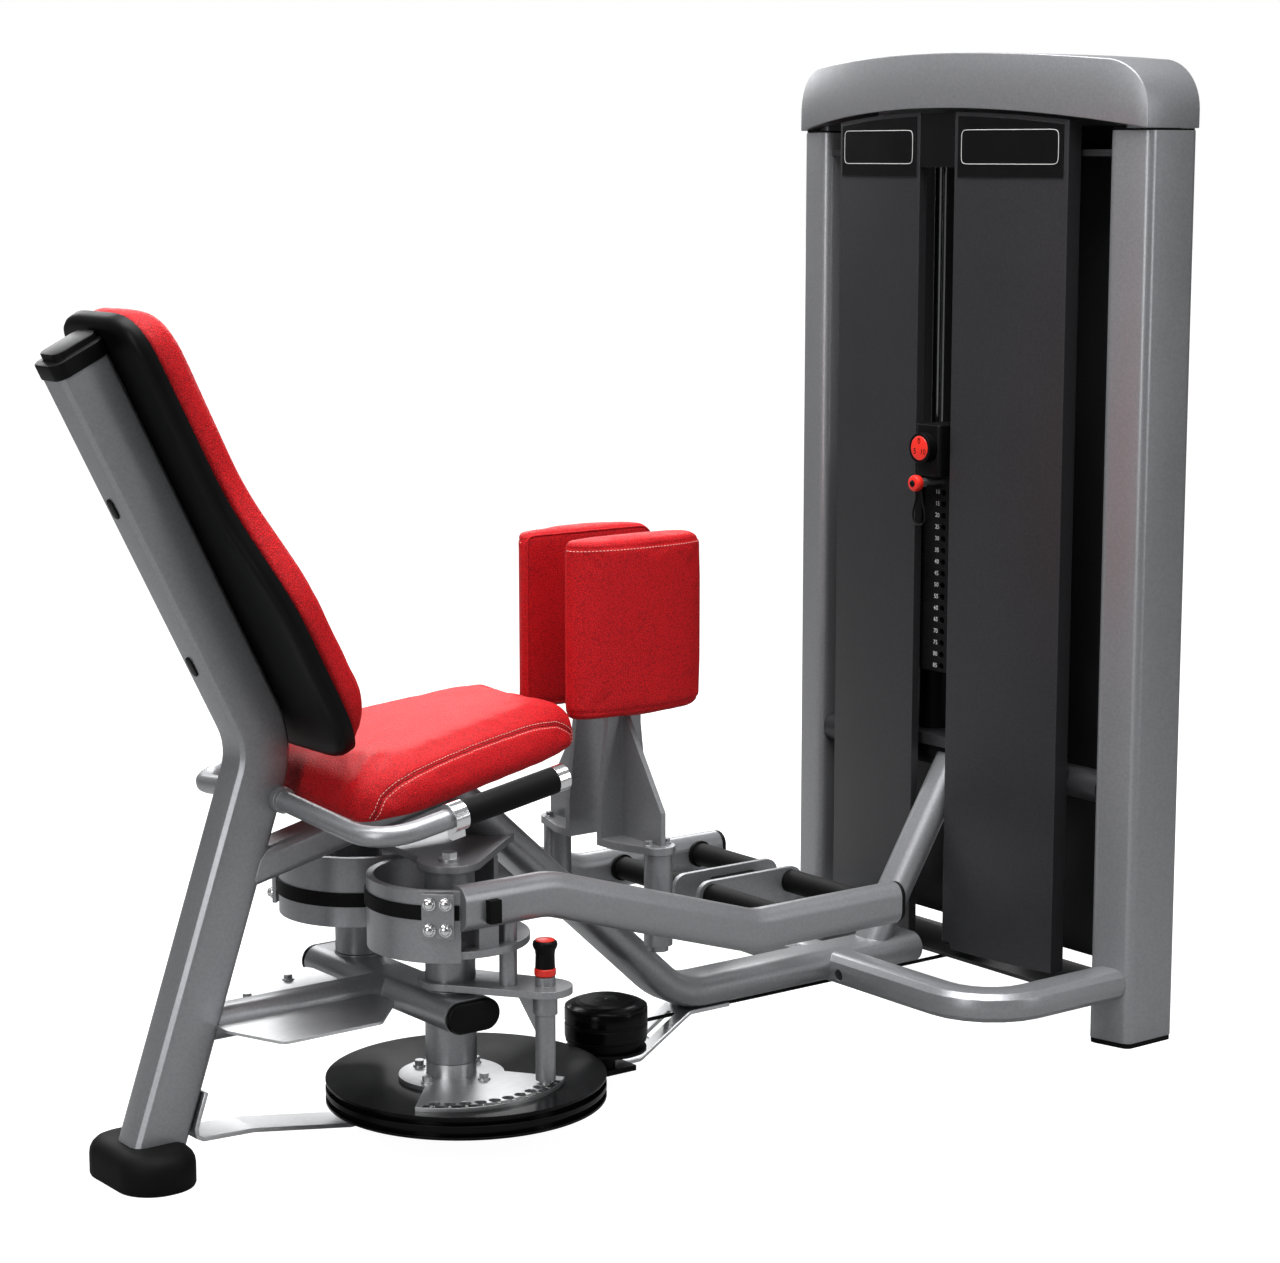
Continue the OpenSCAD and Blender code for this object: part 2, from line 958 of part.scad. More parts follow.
module weight_plates() {
    color(dark)
    place()
    for (i = [1:plate_count])
        translate([0, 0, stack_top - i * plate_pitch])
        stack_plate(plate_pitch - gap);
}

module head_plate() {
    color(dark)
    place() {
        difference() {
            translate([stack_x - stack_depth / 2, -stack_half, stack_top + gap])
            cube([stack_depth, 2 * stack_half, head_t]);
            sides()
            translate([stack_x, guide_y, 0])
            cylinder(h = 2000, r = guide_r + 0.5);
            translate([stack_x - stack_depth, 0, stack_top + gap + head_t / 2])
            rotate([0, 90, 0])
            cylinder(h = stack_depth + 12, r = 5);
        }
        difference() {
            translate([stack_x, 0, stack_top - plate_count * plate_pitch + 4])
            cylinder(h = plate_count * plate_pitch, r = rod_r);
            for (i = [1:plate_count])
                translate([stack_x - 20, 0, stack_top - (i - 0.5) * plate_pitch])
                rotate([0, 90, 0])
                cylinder(h = 40, r = 5);
        }
        translate([stack_x, 0, stack_top + head_t])
        cylinder(h = 29, r = 14);
    }
}

module addon_housing() {
    color(black)
    place()
    difference() {
        translate([addon_x, -28, stack_top + gap + head_t + gap])
        linear_extrude(82)
        polygon(rounded([[0, 0], [70, 0], [70, 56], [0, 56]], 8));
        translate([addon_x - 22, 0, dial_z])
        rotate([0, 90, 0])
        cylinder(h = 60, r = 6 + fit);
    }
}

module dial() {
    color(red)
    place()
    translate([addon_x - dial_t, 0, dial_z])
    rotate([0, 90, 0]) {
        cylinder(h = dial_t - gap, r = dial_r);
        cylinder(h = dial_t + 24, r = 6);
    }
}

module selector_pin() {
    color(red)
    place()
    translate([knob_x, 0, stack_top + gap + head_t / 2])
    rotate([0, 90, 0]) {
        cylinder(h = 28, r = 13);
        cylinder(h = stack_x + 8 - knob_x, r = 4.5);
    }
}

// grooved wheel about Z, groove centred on its mid height
module sheave(pitch, t, bore) {
    r = pitch + 6;
    g = pitch - cable_r - gap;
    rotate_extrude($fn = 96)
    difference() {
        translate([bore, -t / 2])
        square([r - bore, t]);
        polygon([[g, -cable_r - 0.6], [r + 1, -cable_r - 3], [r + 1, cable_r + 3], [g, cable_r + 0.6]]);
    }
}

module redirect_pulley() {
    color(black)
    place()
    translate([redirect_x, redirect_y, cable_z])
    sheave(redirect_r, 20, axle_r + fit);
}

module tower_wheel(z) {
    translate([pulley_x, 0, z])
    rotate([90, 0, 0])
    sheave(tower_pulley_r, pulley_t, axle_r + fit);
}

module foot_pulley() {
    color(black)
    place()
    tower_wheel(foot_pulley_z);
}

module head_pulley() {
    color(black)
    place()
    tower_wheel(head_pulley_z);
}

module redirect_bracket() {
    strap_top = strap_pts[4][1] + strap_t / 2 + gap;
    color(black)
    place()
    translate([redirect_x, redirect_y, 0]) {
        translate([-38, -24, strap_top])
        cube([76, 100, 8]);
        translate([0, 0, strap_top + 4])
        cylinder(h = cable_z + 30 - strap_top, r = axle_r);
        translate([0, 0, strap_top + 4])
        cylinder(h = cable_z - 11 - strap_top - 4, r = 14);
        translate([0, 0, cable_z + 11])
        cylinder(h = cover_h, r = redirect_r + 7);
        translate([0, 0, cable_z + 11 + cover_h])
        cylinder(h = 9, r1 = redirect_r, r2 = 40);
    }
}

module pulley_brackets() {
    color(dark)
    place()
    for (z = [foot_pulley_z, head_pulley_z]) {
        translate([pulley_x, 0, z])
        rotate([90, 0, 0])
        cylinder(h = pulley_bay, r = axle_r, center = true);
        for (s = [-1, 1])
            difference() {
                translate([pulley_x - 22, s * (pulley_bay / 2 - 3) - 3, z == head_pulley_z ? top_plate_z - 20 : cable_z + 2])
                cube([44, 6, 60]);
                translate([pulley_x, 0, z])
                rotate([90, 0, 0])
                cylinder(h = 60, r = axle_r + fit, center = true);
            }
    }
}

// cam to redirect pulley on the crossing tangent, then to the tower and over both pulleys
cam_r = disc_r - groove_d + cable_r + 3;
link = [redirect_x - disc_x, redirect_y + hub_y];
link_a = atan2(link[1], link[0]);
link_b = acos((cam_r + redirect_r) / norm(link));
cam_leave = along([disc_x, -hub_y], link_a - link_b, cam_r);
link_d = link_a - link_b + 90;
link_corner = along(cam_leave, link_d, -cam_leave[1] / sin(link_d));
cable_join = front_x + 26;

module cable_run() {
    color(black)
    place() {
        translate([0, 0, cable_z])
        bent(ring_round(cable_r, 12), [cam_leave, link_corner, [cable_join, 0]], redirect_r, 8);
        xz()
        bent(ring_round(cable_r, 12), [[cable_join, cable_z], [pulley_x + tower_pulley_r, cable_z],
            [pulley_x + tower_pulley_r, head_pulley_z + tower_pulley_r],
            [stack_x, head_pulley_z + tower_pulley_r], [stack_x, head_pulley_z]],
            tower_pulley_r - eps, 8);
    }
}

module lift_cable() {
    color(black)
    place()
    translate([stack_x, 0, stack_top + head_t + 29 + gap])
    cylinder(h = head_pulley_z - stack_top - head_t - 29 - 2 * gap, r = cable_r);
}

module arm_tube() {
    translate([0, -arm_y, 0])
    xz()
    bent(ring_oval(arm_h, arm_w), arm_pts, arm_bend, 4);
}

// part of a ring about Z between two bearings
module ring_arc(r0, r1, a0, a1, h) {
    rotate([0, 0, a0])
    rotate_extrude(angle = a1 - a0, $fn = 128)
    translate([r0, 0])
    square([r1 - r0, h]);
}

module arm_solid() {
    difference() {
        union() {
            arm_tube();
            translate([hub_x, -hub_y, hub_z0])
            cylinder(h = hub_z1 - hub_z0, r = hub_r);
            translate([hub_x, -hub_y, drum_z0])
            ring_arc(drum_r - drum_t, drum_r, 20, 244, drum_z1 - drum_z0);
            translate([hub_x, -hub_y, drum_z0 + 4])
            cylinder(h = 10, r = drum_r - 4);
            translate([hub_x - 16, -arm_y, drum_z0 + 6])
            cube([32, arm_y - hub_y - 20, 84]);
            translate([post_x, -post_y, post_z0])
            cylinder(h = post_z1 - post_z0, r = post_r);
            translate([post_x - 18, -arm_y + 8, 262])
            cube([36, arm_y - post_y - 8, 38]);
            for (x = roller_x)
                translate([x, -arm_y, roller_z])
                rotate([-90, 0, 0])
                cylinder(h = arm_y - step_y - 1, r = 9);
            translate([0, -step_y + step_t / 2, 0])
            rotate([90, 0, 0])
            linear_extrude(step_t)
            polygon(rounded([[978, 222], [1182, 222], [1182, 276], [978, 276]], 22));
            children();
        }
        translate([hub_x, -hub_y, 0])
        cylinder(h = 600, r = spindle_r + fit);
        translate([post_x, -post_y, 0])
        cylinder(h = 600, r = post_pin_r + fit);
    }
}

module arm_right() {
    color(paint)
    place()
    arm_solid()
    translate([511, -203, lever_z + lever_t])
    cylinder(h = 110, r = 12.5);
}

module arm_left() {
    color(paint)
    place()
    mirror([0, 1, 0])
    arm_solid();
}

module arm_end() {
    translate([arm_pts[3][0], -arm_y, arm_pts[3][1]])
    rotate([90, 0, 90])
    linear_extrude(9)
    oval(arm_w - 1, arm_h - 1);
}

module arm_cap_right() {
    color(black)
    place()
    arm_end();
}

module arm_cap_left() {
    color(black)
    place()
    mirror([0, 1, 0])
    arm_end();
}

// the two belt lengths a drum carries: one clamped at its rear, one at its front
module belt_pair(rear_z, front_z) {
    translate([hub_x, -hub_y, rear_z - belt_w / 2])
    ring_arc(drum_r + fit, drum_r + belt_t, 90, 243, belt_w);
    translate([hub_x, -hub_y, front_z - belt_w / 2])
    ring_arc(drum_r + fit, drum_r + belt_t, 24, 90, belt_w);
    translate([452, -arm_y - arm_w / 2 - 12, rear_z - 16])
    cube([18, 12 - fit, 32]);
}

module belt_right() {
    color(black)
    place()
    belt_pair(belt_hi, belt_lo);
}

module belt_left() {
    color(black)
    place()
    mirror([0, 1, 0])
    belt_pair(belt_lo, belt_hi);
}

module clamp_set(z) {
    translate([hub_x, -hub_y, z])
    rotate([0, 0, 229])
    translate([drum_r + belt_t + fit, 0, 0]) {
        difference() {
            translate([0, -22, -31])
            cube([6, 44, 62]);
            translate([-drum_r - belt_t - fit, 0, -40])
            cylinder(h = 80, r = drum_r + belt_t + fit);
        }
        for (y = [-11, 11], dz = [-18, 18])
            translate([6, y, dz])
            rotate([0, 90, 0]) {
                cylinder(h = 4, r = 8.5);
                cylinder(h = 9, r = 6);
            }
    }
}

module clamp_right() {
    color(paint)
    place()
    clamp_set(belt_hi - 3);
}

module clamp_left() {
    color(paint)
    place()
    mirror([0, 1, 0])
    clamp_set(belt_lo - 3);
}

module roller_pair() {
    len = arm_y - arm_w / 2 - step_y - step_t / 2 - 2;
    for (x = roller_x)
        translate([x, -step_y - step_t / 2 - 1, roller_z])
        rotate([90, 0, 0])
        difference() {
            union() {
                cylinder(h = len, r = roller_r);
                translate([0, 0, len - 5])
                cylinder(h = 5, r = roller_r + 3);
            }
            translate([0, 0, -1])
            cylinder(h = len + 2, r = 9 + fit);
        }
}

module rollers_right() {
    color(black)
    place()
    roller_pair();
}

module rollers_left() {
    color(black)
    place()
    mirror([0, 1, 0])
    roller_pair();
}

module foot_stop() {
    color(black)
    place()
    translate([1045, -step_y + step_t / 2, 236])
    rotate([-90, 0, 0])
    linear_extrude(2 * step_y - step_t - gap)
    translate([0, -28])
    polygon(rounded([[0, 0], [92, 0], [92, 28], [0, 28]], 8));
}

module lever_plan() {
    translate([hub_x, -hub_y])
    circle(46);
    translate([pin_x, pin_y])
    circle(38);
    translate([hub_x, -hub_y])
    rotate(hole_a)
    polygon([[0, -44], [hole_r, -37], [hole_r, 37], [0, 44]]);
}

module limiter_lever() {
    color(paint)
    place()
    difference() {
        union() {
            translate([0, 0, lever_z])
            linear_extrude(lever_t)
            lever_plan();
            translate([pin_x, pin_y, sector_z1 + 5])
            cylinder(h = lever_z + lever_t + 13 - sector_z1 - 5, r = 14);
            translate([pin_x, pin_y, lever_z - 30])
            cylinder(h = 30, r = 17);
            translate([hub_x, -hub_y, 0])
            rotate([90, 0, hole_a])
            linear_extrude(8, center = true)
            polygon([[hub_r + 62, lever_z + 1], [hole_r, lever_z + 1], [hole_r, lever_z - 80]]);
        }
        translate([hub_x, -hub_y, 0])
        cylinder(h = 600, r = hub_r);
        translate([pin_x, pin_y, 0])
        cylinder(h = 600, r = pin_r + fit);
    }
}

module pop_pin() {
    color(black)
    place()
    translate([pin_x, pin_y, 0]) {
        translate([0, 0, disc_z1 + 1])
        cylinder(h = 170, r = pin_r);
        translate([0, 0, lever_z + lever_t + 14])
        cylinder(h = 12, r = 15);
        translate([0, 0, lever_z + lever_t + 26])
        cylinder(h = 32, r = 14);
        translate([0, 0, lever_z + lever_t + 54])
        cylinder(h = 10, r = 17);
    }
}

module cam_disc() {
    color(black)
    place()
    difference() {
        translate([disc_x, -hub_y, 0])
        rotate_extrude($fn = 160)
        difference() {
            translate([0, disc_z0])
            square([disc_r, disc_z1 - disc_z0]);
            for (z = groove_z)
                translate([disc_r - groove_d, z - groove_w / 2])
                square([groove_d + 1, groove_w]);
        }
        translate([hub_x, -hub_y, 0])
        cylinder(h = 200, r = spindle_r + fit);
    }
}

module sector_plate() {
    color(steel)
    place()
    translate([hub_x, -hub_y, disc_z1])
    difference() {
        union() {
            linear_extrude(sector_t)
            sector_outline();
            cylinder(h = boss_z0 - 1 - disc_z1, r = hub_r);
            for (a = [20, 110, 200, 290])
                rotate([0, 0, a])
                translate([56, 0, sector_t])
                hex_bolt(7, 9);
        }
        translate([0, 0, -1])
        cylinder(h = 60, r = spindle_r + fit);
        for (i = [0:hole_count - 1])
            rotate([0, 0, hole_a - i * hole_step])
            translate([hole_r, 0, -1])
            cylinder(h = sector_t + 2, r = pin_r + gap);
    }
}

// rounded fan of the limiter plate, centred on the hub
module sector_outline() {
    a0 = hole_a - hole_count * hole_step;
    a1 = hole_a + 12;
    polygon(concat([for (i = [0:24]) along([0, 0], a0 + (a1 - a0) * i / 24, sector_r)],
        [for (i = [0:24]) along([0, 0], a1 + 12 + (336 - a1 + a0) * i / 24, 74)]));
}

module bracket_solid() {
    z1 = post_z1 + 1;
    translate([0, 0, z1])
    linear_extrude(11) {
        translate([post_x, -post_y])
        circle(25);
        polygon([[post_x - 24, -post_y], [post_x - bracket_low / 2, -70], [post_x - bracket_low / 2, -34],
            [post_x + bracket_low / 2, -34], [post_x + bracket_low / 2, -70], [post_x + 24, -post_y]]);
    }
    translate([post_x, -pad_back + bracket_t + gap, 0])
    rotate([90, 0, 0])
    linear_extrude(bracket_t)
    polygon([[-bracket_low / 2, z1], [bracket_low / 2, z1], [bracket_low / 2, 420], [bracket_top / 2, 540],
        [bracket_top / 2, 760], [-bracket_top / 2, 760], [-bracket_top / 2, 540], [-bracket_low / 2, 420]]);
    translate([post_x - gusset_t / 2, 0, 0])
    rotate([90, 0, 90])
    linear_extrude(gusset_t)
    polygon([[-post_y - 12, z1 + 5], [-pad_back + 5, z1 + 5], [-pad_back + 5, pad_z0 - 6], [-pad_back - 8, pad_z0 - 6],
        [-post_y - 12, z1 + 60]]);
    translate([post_x, -post_y, post_z0 - 8])
    cylinder(h = z1 - post_z0 + 10, r = post_pin_r);
    translate([post_x, -post_y, post_z0 - 9])
    cylinder(h = 8, r = 15);
    translate([post_x - 16, -post_y + 2, z1 + 11])
    hex_bolt(6, 8);
    translate([post_x + 16, -post_y + 2, z1 + 11])
    hex_bolt(6, 8);
}

module bracket_right() {
    color(paint)
    place()
    bracket_solid();
}

module bracket_left() {
    color(paint)
    place()
    mirror([0, 1, 0])
    bracket_solid();
}

function pad_plan() = let (h = pad_l / 2)
    concat([[h, 0], [-h, 0]], [for (i = [0:16]) let (t = i / 8 - 1) [h * t, -20 - (pad_t - 20) * sqrt(1 - t * t * 0.96)]]);

module pad_solid() {
    translate([post_x + pad_ahead, -pad_back, pad_z0])
    linear_extrude(pad_h)
    polygon(pad_plan());
}

module pad_right() {
    color(red)
    place()
    pad_solid();
}

module pad_left() {
    color(red)
    place()
    mirror([0, 1, 0])
    pad_solid();
}

rear_upright();
rear_foot();
upright_cap();
back_shell();
back_pad();
seat_pad();
seat_base();
main_frame();
handles();
grips();
grip_collars();
hub_plate();
spindles();
lower_frame();
cross_caps();
guard_wings();
frame_bolts();
tie_strap();
columns();
column_feet();
crown();
front_shrouds();
rear_panels();
placards();
stack_frame();
guide_rods();
stack_bumpers();
weight_plates();
cable_run();
lift_cable();
redirect_bracket();
pulley_brackets();
arm_right();
arm_cap_right();
belt_right();
clamp_right();
rollers_right();
limiter_lever();
foot_stop();
arm_left();
arm_cap_left();
belt_left();
clamp_left();
rollers_left();
bracket_right();
pad_right();
bracket_left();
pad_left();
cam_disc();
sector_plate();
pop_pin();
head_plate();
addon_housing();
dial();
selector_pin();
redirect_pulley();
foot_pulley();
head_pulley();
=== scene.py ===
"""Seated hip abduction and adduction machine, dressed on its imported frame."""
import math

import bmesh
import bpy
from mathutils import Matrix, Vector
from mathutils.bvhtree import BVHTree
from mathutils.kdtree import KDTree


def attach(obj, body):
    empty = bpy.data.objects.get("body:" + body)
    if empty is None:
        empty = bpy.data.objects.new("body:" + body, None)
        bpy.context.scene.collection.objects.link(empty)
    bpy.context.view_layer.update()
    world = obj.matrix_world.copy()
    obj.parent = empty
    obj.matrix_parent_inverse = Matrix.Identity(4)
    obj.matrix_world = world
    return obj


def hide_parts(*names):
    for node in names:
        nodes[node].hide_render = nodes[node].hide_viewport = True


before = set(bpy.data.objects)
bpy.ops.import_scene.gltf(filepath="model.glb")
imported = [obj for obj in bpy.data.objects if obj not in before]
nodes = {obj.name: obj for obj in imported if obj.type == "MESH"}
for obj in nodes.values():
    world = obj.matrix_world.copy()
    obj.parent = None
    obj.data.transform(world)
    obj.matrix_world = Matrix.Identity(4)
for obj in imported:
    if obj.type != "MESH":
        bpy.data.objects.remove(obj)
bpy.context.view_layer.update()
scene = bpy.context.scene

# Build drawing: millimetres, X from the rear foot, Y to the user's left, Z up.
DRAWING_ORIGIN = Vector((788.55, 0, 0))


def at(x, y, z):
    """A point of the build drawing in the row frame, in metres."""
    return (Vector((x, y, z)) - DRAWING_ORIGIN) / 1000


# Camera and light

# Fitted to the photo: the lens's place on the drawing, and its degrees below level and round from the X axis
CAMERA_PLACE, CAMERA_DOWN, CAMERA_HEADING = (-1748.3, -3487.2, 1365.8), 9.09, 52.87
SENSOR_MM, LENS_MM = 36, 84


def linked(name, data):
    """A new object of the scene."""
    piece = bpy.data.objects.new(name, data)
    scene.collection.objects.link(piece)
    return piece


camera_data = bpy.data.cameras.new("photo_camera")
camera_data.sensor_fit = "HORIZONTAL"
camera_data.sensor_width = SENSOR_MM
camera_data.lens = LENS_MM
camera = linked("photo_camera", camera_data)
camera.location = at(*CAMERA_PLACE)
camera.rotation_euler = (math.radians(90 - CAMERA_DOWN), 0, math.radians(CAMERA_HEADING - 90))
scene.camera = camera


def linear(code):
    """An sRGB hex colour as linear values."""
    parts = [int(code[i:i + 2], 16) / 255 for i in (1, 3, 5)]
    return [c / 12.92 if c <= 0.04045 else ((c + 0.055) / 1.055) ** 2.4 for c in parts] + [1]


def soft_light(name, place, aim, size, power):
    """A white softbox that lights the machine and is not seen itself: place, aim and size in metres, power in watts."""
    lamp = bpy.data.lights.new(name, "AREA")
    lamp.shape = "RECTANGLE"
    lamp.size, lamp.size_y = size
    lamp.energy = power
    holder = linked(name, lamp)
    holder.location = place
    holder.visible_camera = False
    holder.rotation_euler = (Vector(aim) - Vector(place)).to_track_quat("-Z", "Y").to_euler()


soft_light("overhead_softbox", (-0.4, -0.2, 3.4), (0, 0, 0.4), (3.4, 2.2), 230)
soft_light("left_softbox", (-3.2, -1.4, 1.8), (0, 0, 0.7), (1.0, 2.6), 48)
soft_light("right_softbox", (1.9, -3.4, 1.7), (0.6, 0, 0.8), (0.8, 2.4), 26)
soft_light("rear_softbox", (1.5, 3.3, 2.5), (0, 0, 0.6), (3.6, 1.6), 105)
scene.view_settings.view_transform = "Standard"


# Node and mesh helpers

def add(tree, kind, inputs=None, **settings):
    """A new node, or one that is there, with its settings and each input set to a value or linked to a socket."""
    made = tree.nodes.new(kind) if isinstance(kind, str) else kind
    for name, value in settings.items():
        setattr(made, name, value)
    for name, value in (inputs or {}).items():
        if isinstance(value, bpy.types.NodeSocket):
            tree.links.new(value, made.inputs[name])
        else:
            made.inputs[name].default_value = value
    return made


# Studio: white wherever the lens looks past the machine, but as light a dim room that brightens overhead
ROOM_LOW, ROOM_HIGH = 0.12, 0.6
world = bpy.data.worlds.new("studio")
scene.world = world
world.use_nodes = True
sky = world.node_tree
facing = add(sky, "ShaderNodeSeparateXYZ", {0: add(sky, "ShaderNodeTexCoord").outputs["Generated"]})
rise = add(sky, "ShaderNodeMapRange", {"Value": facing.outputs["Z"], "To Min": ROOM_LOW, "To Max": ROOM_HIGH})
fill = add(sky, sky.nodes["Background"], {"Color": linear("#f4f5f6"), "Strength": rise.outputs["Result"]})
white = add(sky, "ShaderNodeBackground", {"Color": linear("#ffffff"), "Strength": 1.0})
seen = add(sky, "ShaderNodeLightPath")
both = add(sky, "ShaderNodeMixShader", {0: seen.outputs["Is Camera Ray"], 1: fill.outputs[0], 2: white.outputs[0]})
add(sky, sky.nodes["World Output"], {"Surface": both.outputs[0]})


# Finishes

def new_finish(name):
    """A material with its tree, its shader and Object coordinates in metres."""
    made = bpy.data.materials.new(name)
    made.use_nodes = True
    tree = made.node_tree
    return made, tree, tree.nodes["Principled BSDF"], add(tree, "ShaderNodeTexCoord").outputs["Object"]


def per_mm(size):
    """Texture scale for a feature of this many millimetres."""
    return 1000 / size


# radii that the Bevel node gives to painted, moulded and ground edges, in metres
PAINT_EDGE, MOULD_EDGE, GROUND_EDGE = 0.0016, 0.0012, 0.0008


def powder_coat(name, low, high, edge_highlight, roughness, metallic):
    """Metallic powder coat, sprayed and baked: soft flakes, a faint orange peel, and a painted highlight that colours
    its edges a little lighter.
    """
    made, tree, shader, where = new_finish(name)
    # real flakes are a fraction of a millimetre; drawn at 4 mm so that they show at this distance
    flakes = add(tree, "ShaderNodeTexNoise", {"Vector": where, "Scale": per_mm(4), "Detail": 0.0})
    cloud = add(tree, "ShaderNodeTexNoise", {"Vector": where, "Scale": per_mm(140), "Detail": 1.0})
    coat = add(tree, "ShaderNodeMix", {0: flakes.outputs["Fac"], 6: linear(low), 7: linear(high)}, data_type="RGBA")
    rounded = add(tree, "ShaderNodeBevel", {"Radius": PAINT_EDGE}, samples=4)
    flat = add(tree, "ShaderNodeNewGeometry")
    turn = add(tree, "ShaderNodeVectorMath", {0: rounded.outputs[0], 1: flat.outputs["Normal"]},
               operation="DOT_PRODUCT")
    # painted highlight: at the edges, where the rounded normal turns away from the flat one, the colour is mixed
    # towards the lighter edge colour
    edge_highlight_mask = add(tree, "ShaderNodeMapRange", {"Value": turn.outputs["Value"], "From Min": 0.98, "From Max": 0.75,
                                           "To Min": 0.0, "To Max": 0.3})
    colour = add(tree, "ShaderNodeMix", {0: edge_highlight_mask.outputs["Result"], 6: coat.outputs[2], 7: linear(edge_highlight)},
                 data_type="RGBA")
    peel = add(tree, "ShaderNodeTexNoise", {"Vector": where, "Scale": per_mm(7), "Detail": 0.0})
    bump = add(tree, "ShaderNodeBump", {"Height": peel.outputs["Fac"], "Strength": 0.1, "Distance": 0.0002,
                                        "Normal": rounded.outputs[0]})
    gloss = add(tree, "ShaderNodeMapRange", {"Value": cloud.outputs["Fac"], "To Min": roughness - 0.05,
                                             "To Max": roughness + 0.06})
    add(tree, shader, {"Base Color": colour.outputs[2], "Metallic": metallic, "Roughness": gloss.outputs["Result"],
                       "Normal": bump.outputs["Normal"]})
    return made


def moulded(name, low, high, roughness, grain_mm, depth, specular=0.1):
    """Moulded or cast black goods: an etched grain breaks up the shine, and moulded edges catch a thin light."""
    made, tree, shader, where = new_finish(name)
    grain = add(tree, "ShaderNodeTexVoronoi", {"Vector": where, "Scale": per_mm(grain_mm)}, feature="SMOOTH_F1")
    cloud = add(tree, "ShaderNodeTexNoise", {"Vector": where, "Scale": per_mm(60), "Detail": 4.0})
    colour = add(tree, "ShaderNodeMix", {0: cloud.outputs["Fac"], 6: linear(low), 7: linear(high)}, data_type="RGBA")
    rounded = add(tree, "ShaderNodeBevel", {"Radius": MOULD_EDGE}, samples=4)
    bump = add(tree, "ShaderNodeBump", {"Height": grain.outputs["Distance"], "Strength": depth, "Distance": 0.0002,
                                        "Normal": rounded.outputs[0]})
    gloss = add(tree, "ShaderNodeMapRange", {"Value": cloud.outputs["Fac"], "To Min": roughness - 0.06,
                                             "To Max": roughness + 0.08})
    add(tree, shader, {"Base Color": colour.outputs[2], "Roughness": gloss.outputs["Result"],
                       "Normal": bump.outputs["Normal"], "Specular IOR Level": specular})
    return made


def leatherette(name, low, high):
    """Vinyl upholstery with an embossed hide grain: soft highlights broken into small cells, and painted shade that
    darkens the creases between them.
    """
    made, tree, shader, where = new_finish(name)
    warp = add(tree, "ShaderNodeTexNoise", {"Vector": where, "Scale": per_mm(9), "Detail": 2.0})
    moved = add(tree, "ShaderNodeMix", {0: 0.0015, 4: where, 5: warp.outputs["Color"]}, data_type="VECTOR")
    # real grain is about 1 mm; drawn at 3.4 mm so that it shows at this distance
    cells = add(tree, "ShaderNodeTexVoronoi", {"Vector": moved.outputs[1], "Scale": per_mm(3.4)},
                feature="DISTANCE_TO_EDGE")
    fine = add(tree, "ShaderNodeTexNoise", {"Vector": where, "Scale": per_mm(0.8), "Detail": 2.0})
    cloud = add(tree, "ShaderNodeTexNoise", {"Vector": where, "Scale": per_mm(45), "Detail": 5.0})
    # painted shade: the colour darkens towards the cell edges, where the grain's creases lie low
    crease_shade = add(tree, "ShaderNodeMapRange", {"Value": cells.outputs["Distance"], "From Max": 0.22})
    colour = add(tree, "ShaderNodeMix", {0: crease_shade.outputs["Result"], 6: linear(low), 7: linear(high)},
                 data_type="RGBA")
    height = add(tree, "ShaderNodeMath", {0: cells.outputs["Distance"], 1: fine.outputs["Fac"]}, operation="ADD")
    bump = add(tree, "ShaderNodeBump", {"Height": height.outputs[0], "Strength": 0.75, "Distance": 0.001})
    gloss = add(tree, "ShaderNodeMapRange", {"Value": cloud.outputs["Fac"], "To Min": 0.5, "To Max": 0.6})
    add(tree, shader, {"Base Color": colour.outputs[2], "Roughness": gloss.outputs["Result"],
                       "Normal": bump.outputs["Normal"], "Sheen Weight": 0.05, "Sheen Roughness": 0.4,
                       "Sheen Tint": linear("#ff6a60"), "Specular IOR Level": 0.2})
    return made


def brushed(name, low, high, roughness, stretch):
    """Ground, brushed or plated steel: fine lines along one direction stretch the highlights."""
    made, tree, shader, where = new_finish(name)
    drawn = add(tree, "ShaderNodeMapping", {"Vector": where, "Scale": stretch})
    lines = add(tree, "ShaderNodeTexNoise", {"Vector": drawn.outputs["Vector"], "Scale": per_mm(1.2), "Detail": 3.0})
    colour = add(tree, "ShaderNodeMix", {0: lines.outputs["Fac"], 6: linear(low), 7: linear(high)}, data_type="RGBA")
    rounded = add(tree, "ShaderNodeBevel", {"Radius": GROUND_EDGE}, samples=4)
    bump = add(tree, "ShaderNodeBump", {"Height": lines.outputs["Fac"], "Strength": 0.08, "Distance": 0.00005,
                                        "Normal": rounded.outputs[0]})
    gloss = add(tree, "ShaderNodeMapRange", {"Value": lines.outputs["Fac"], "To Min": roughness - 0.08,
                                             "To Max": roughness + 0.1})
    add(tree, shader, {"Base Color": colour.outputs[2], "Metallic": 1.0, "Roughness": gloss.outputs["Result"],
                       "Normal": bump.outputs["Normal"]})
    return made


# frame, columns and crown: mid grey with a metallic glint, its edges painted lighter as a painted highlight
grey_coat = powder_coat("metallic_grey_powder_coat", "#808184", "#8e8f92", "#a2a3a5", 0.345, 0.6)
# tower panels and stack frame: satin charcoal, its edges painted lighter as a painted highlight
charcoal_coat = powder_coat("charcoal_satin_powder_coat", "#2a2a2c", "#343436", "#505052", 0.34, 0.4)
# injection-moulded ABS caps and covers: deep black, a fine spark-etched grain dulls the light
abs_black = moulded("black_moulded_abs", "#040405", "#09090a", 0.4, 1.1, 0.25)
# stove-enamelled disc: wet-looking black, clear soft reflections
gloss_black = moulded("black_gloss_stove_enamel", "#030304", "#070708", 0.19, 3.0, 0.04)
# moulded rubber feet, grips and rollers: matt black with a leathery grain
rubber_black = moulded("black_moulded_rubber", "#050505", "#0b0b0b", 0.62, 1.6, 0.35)
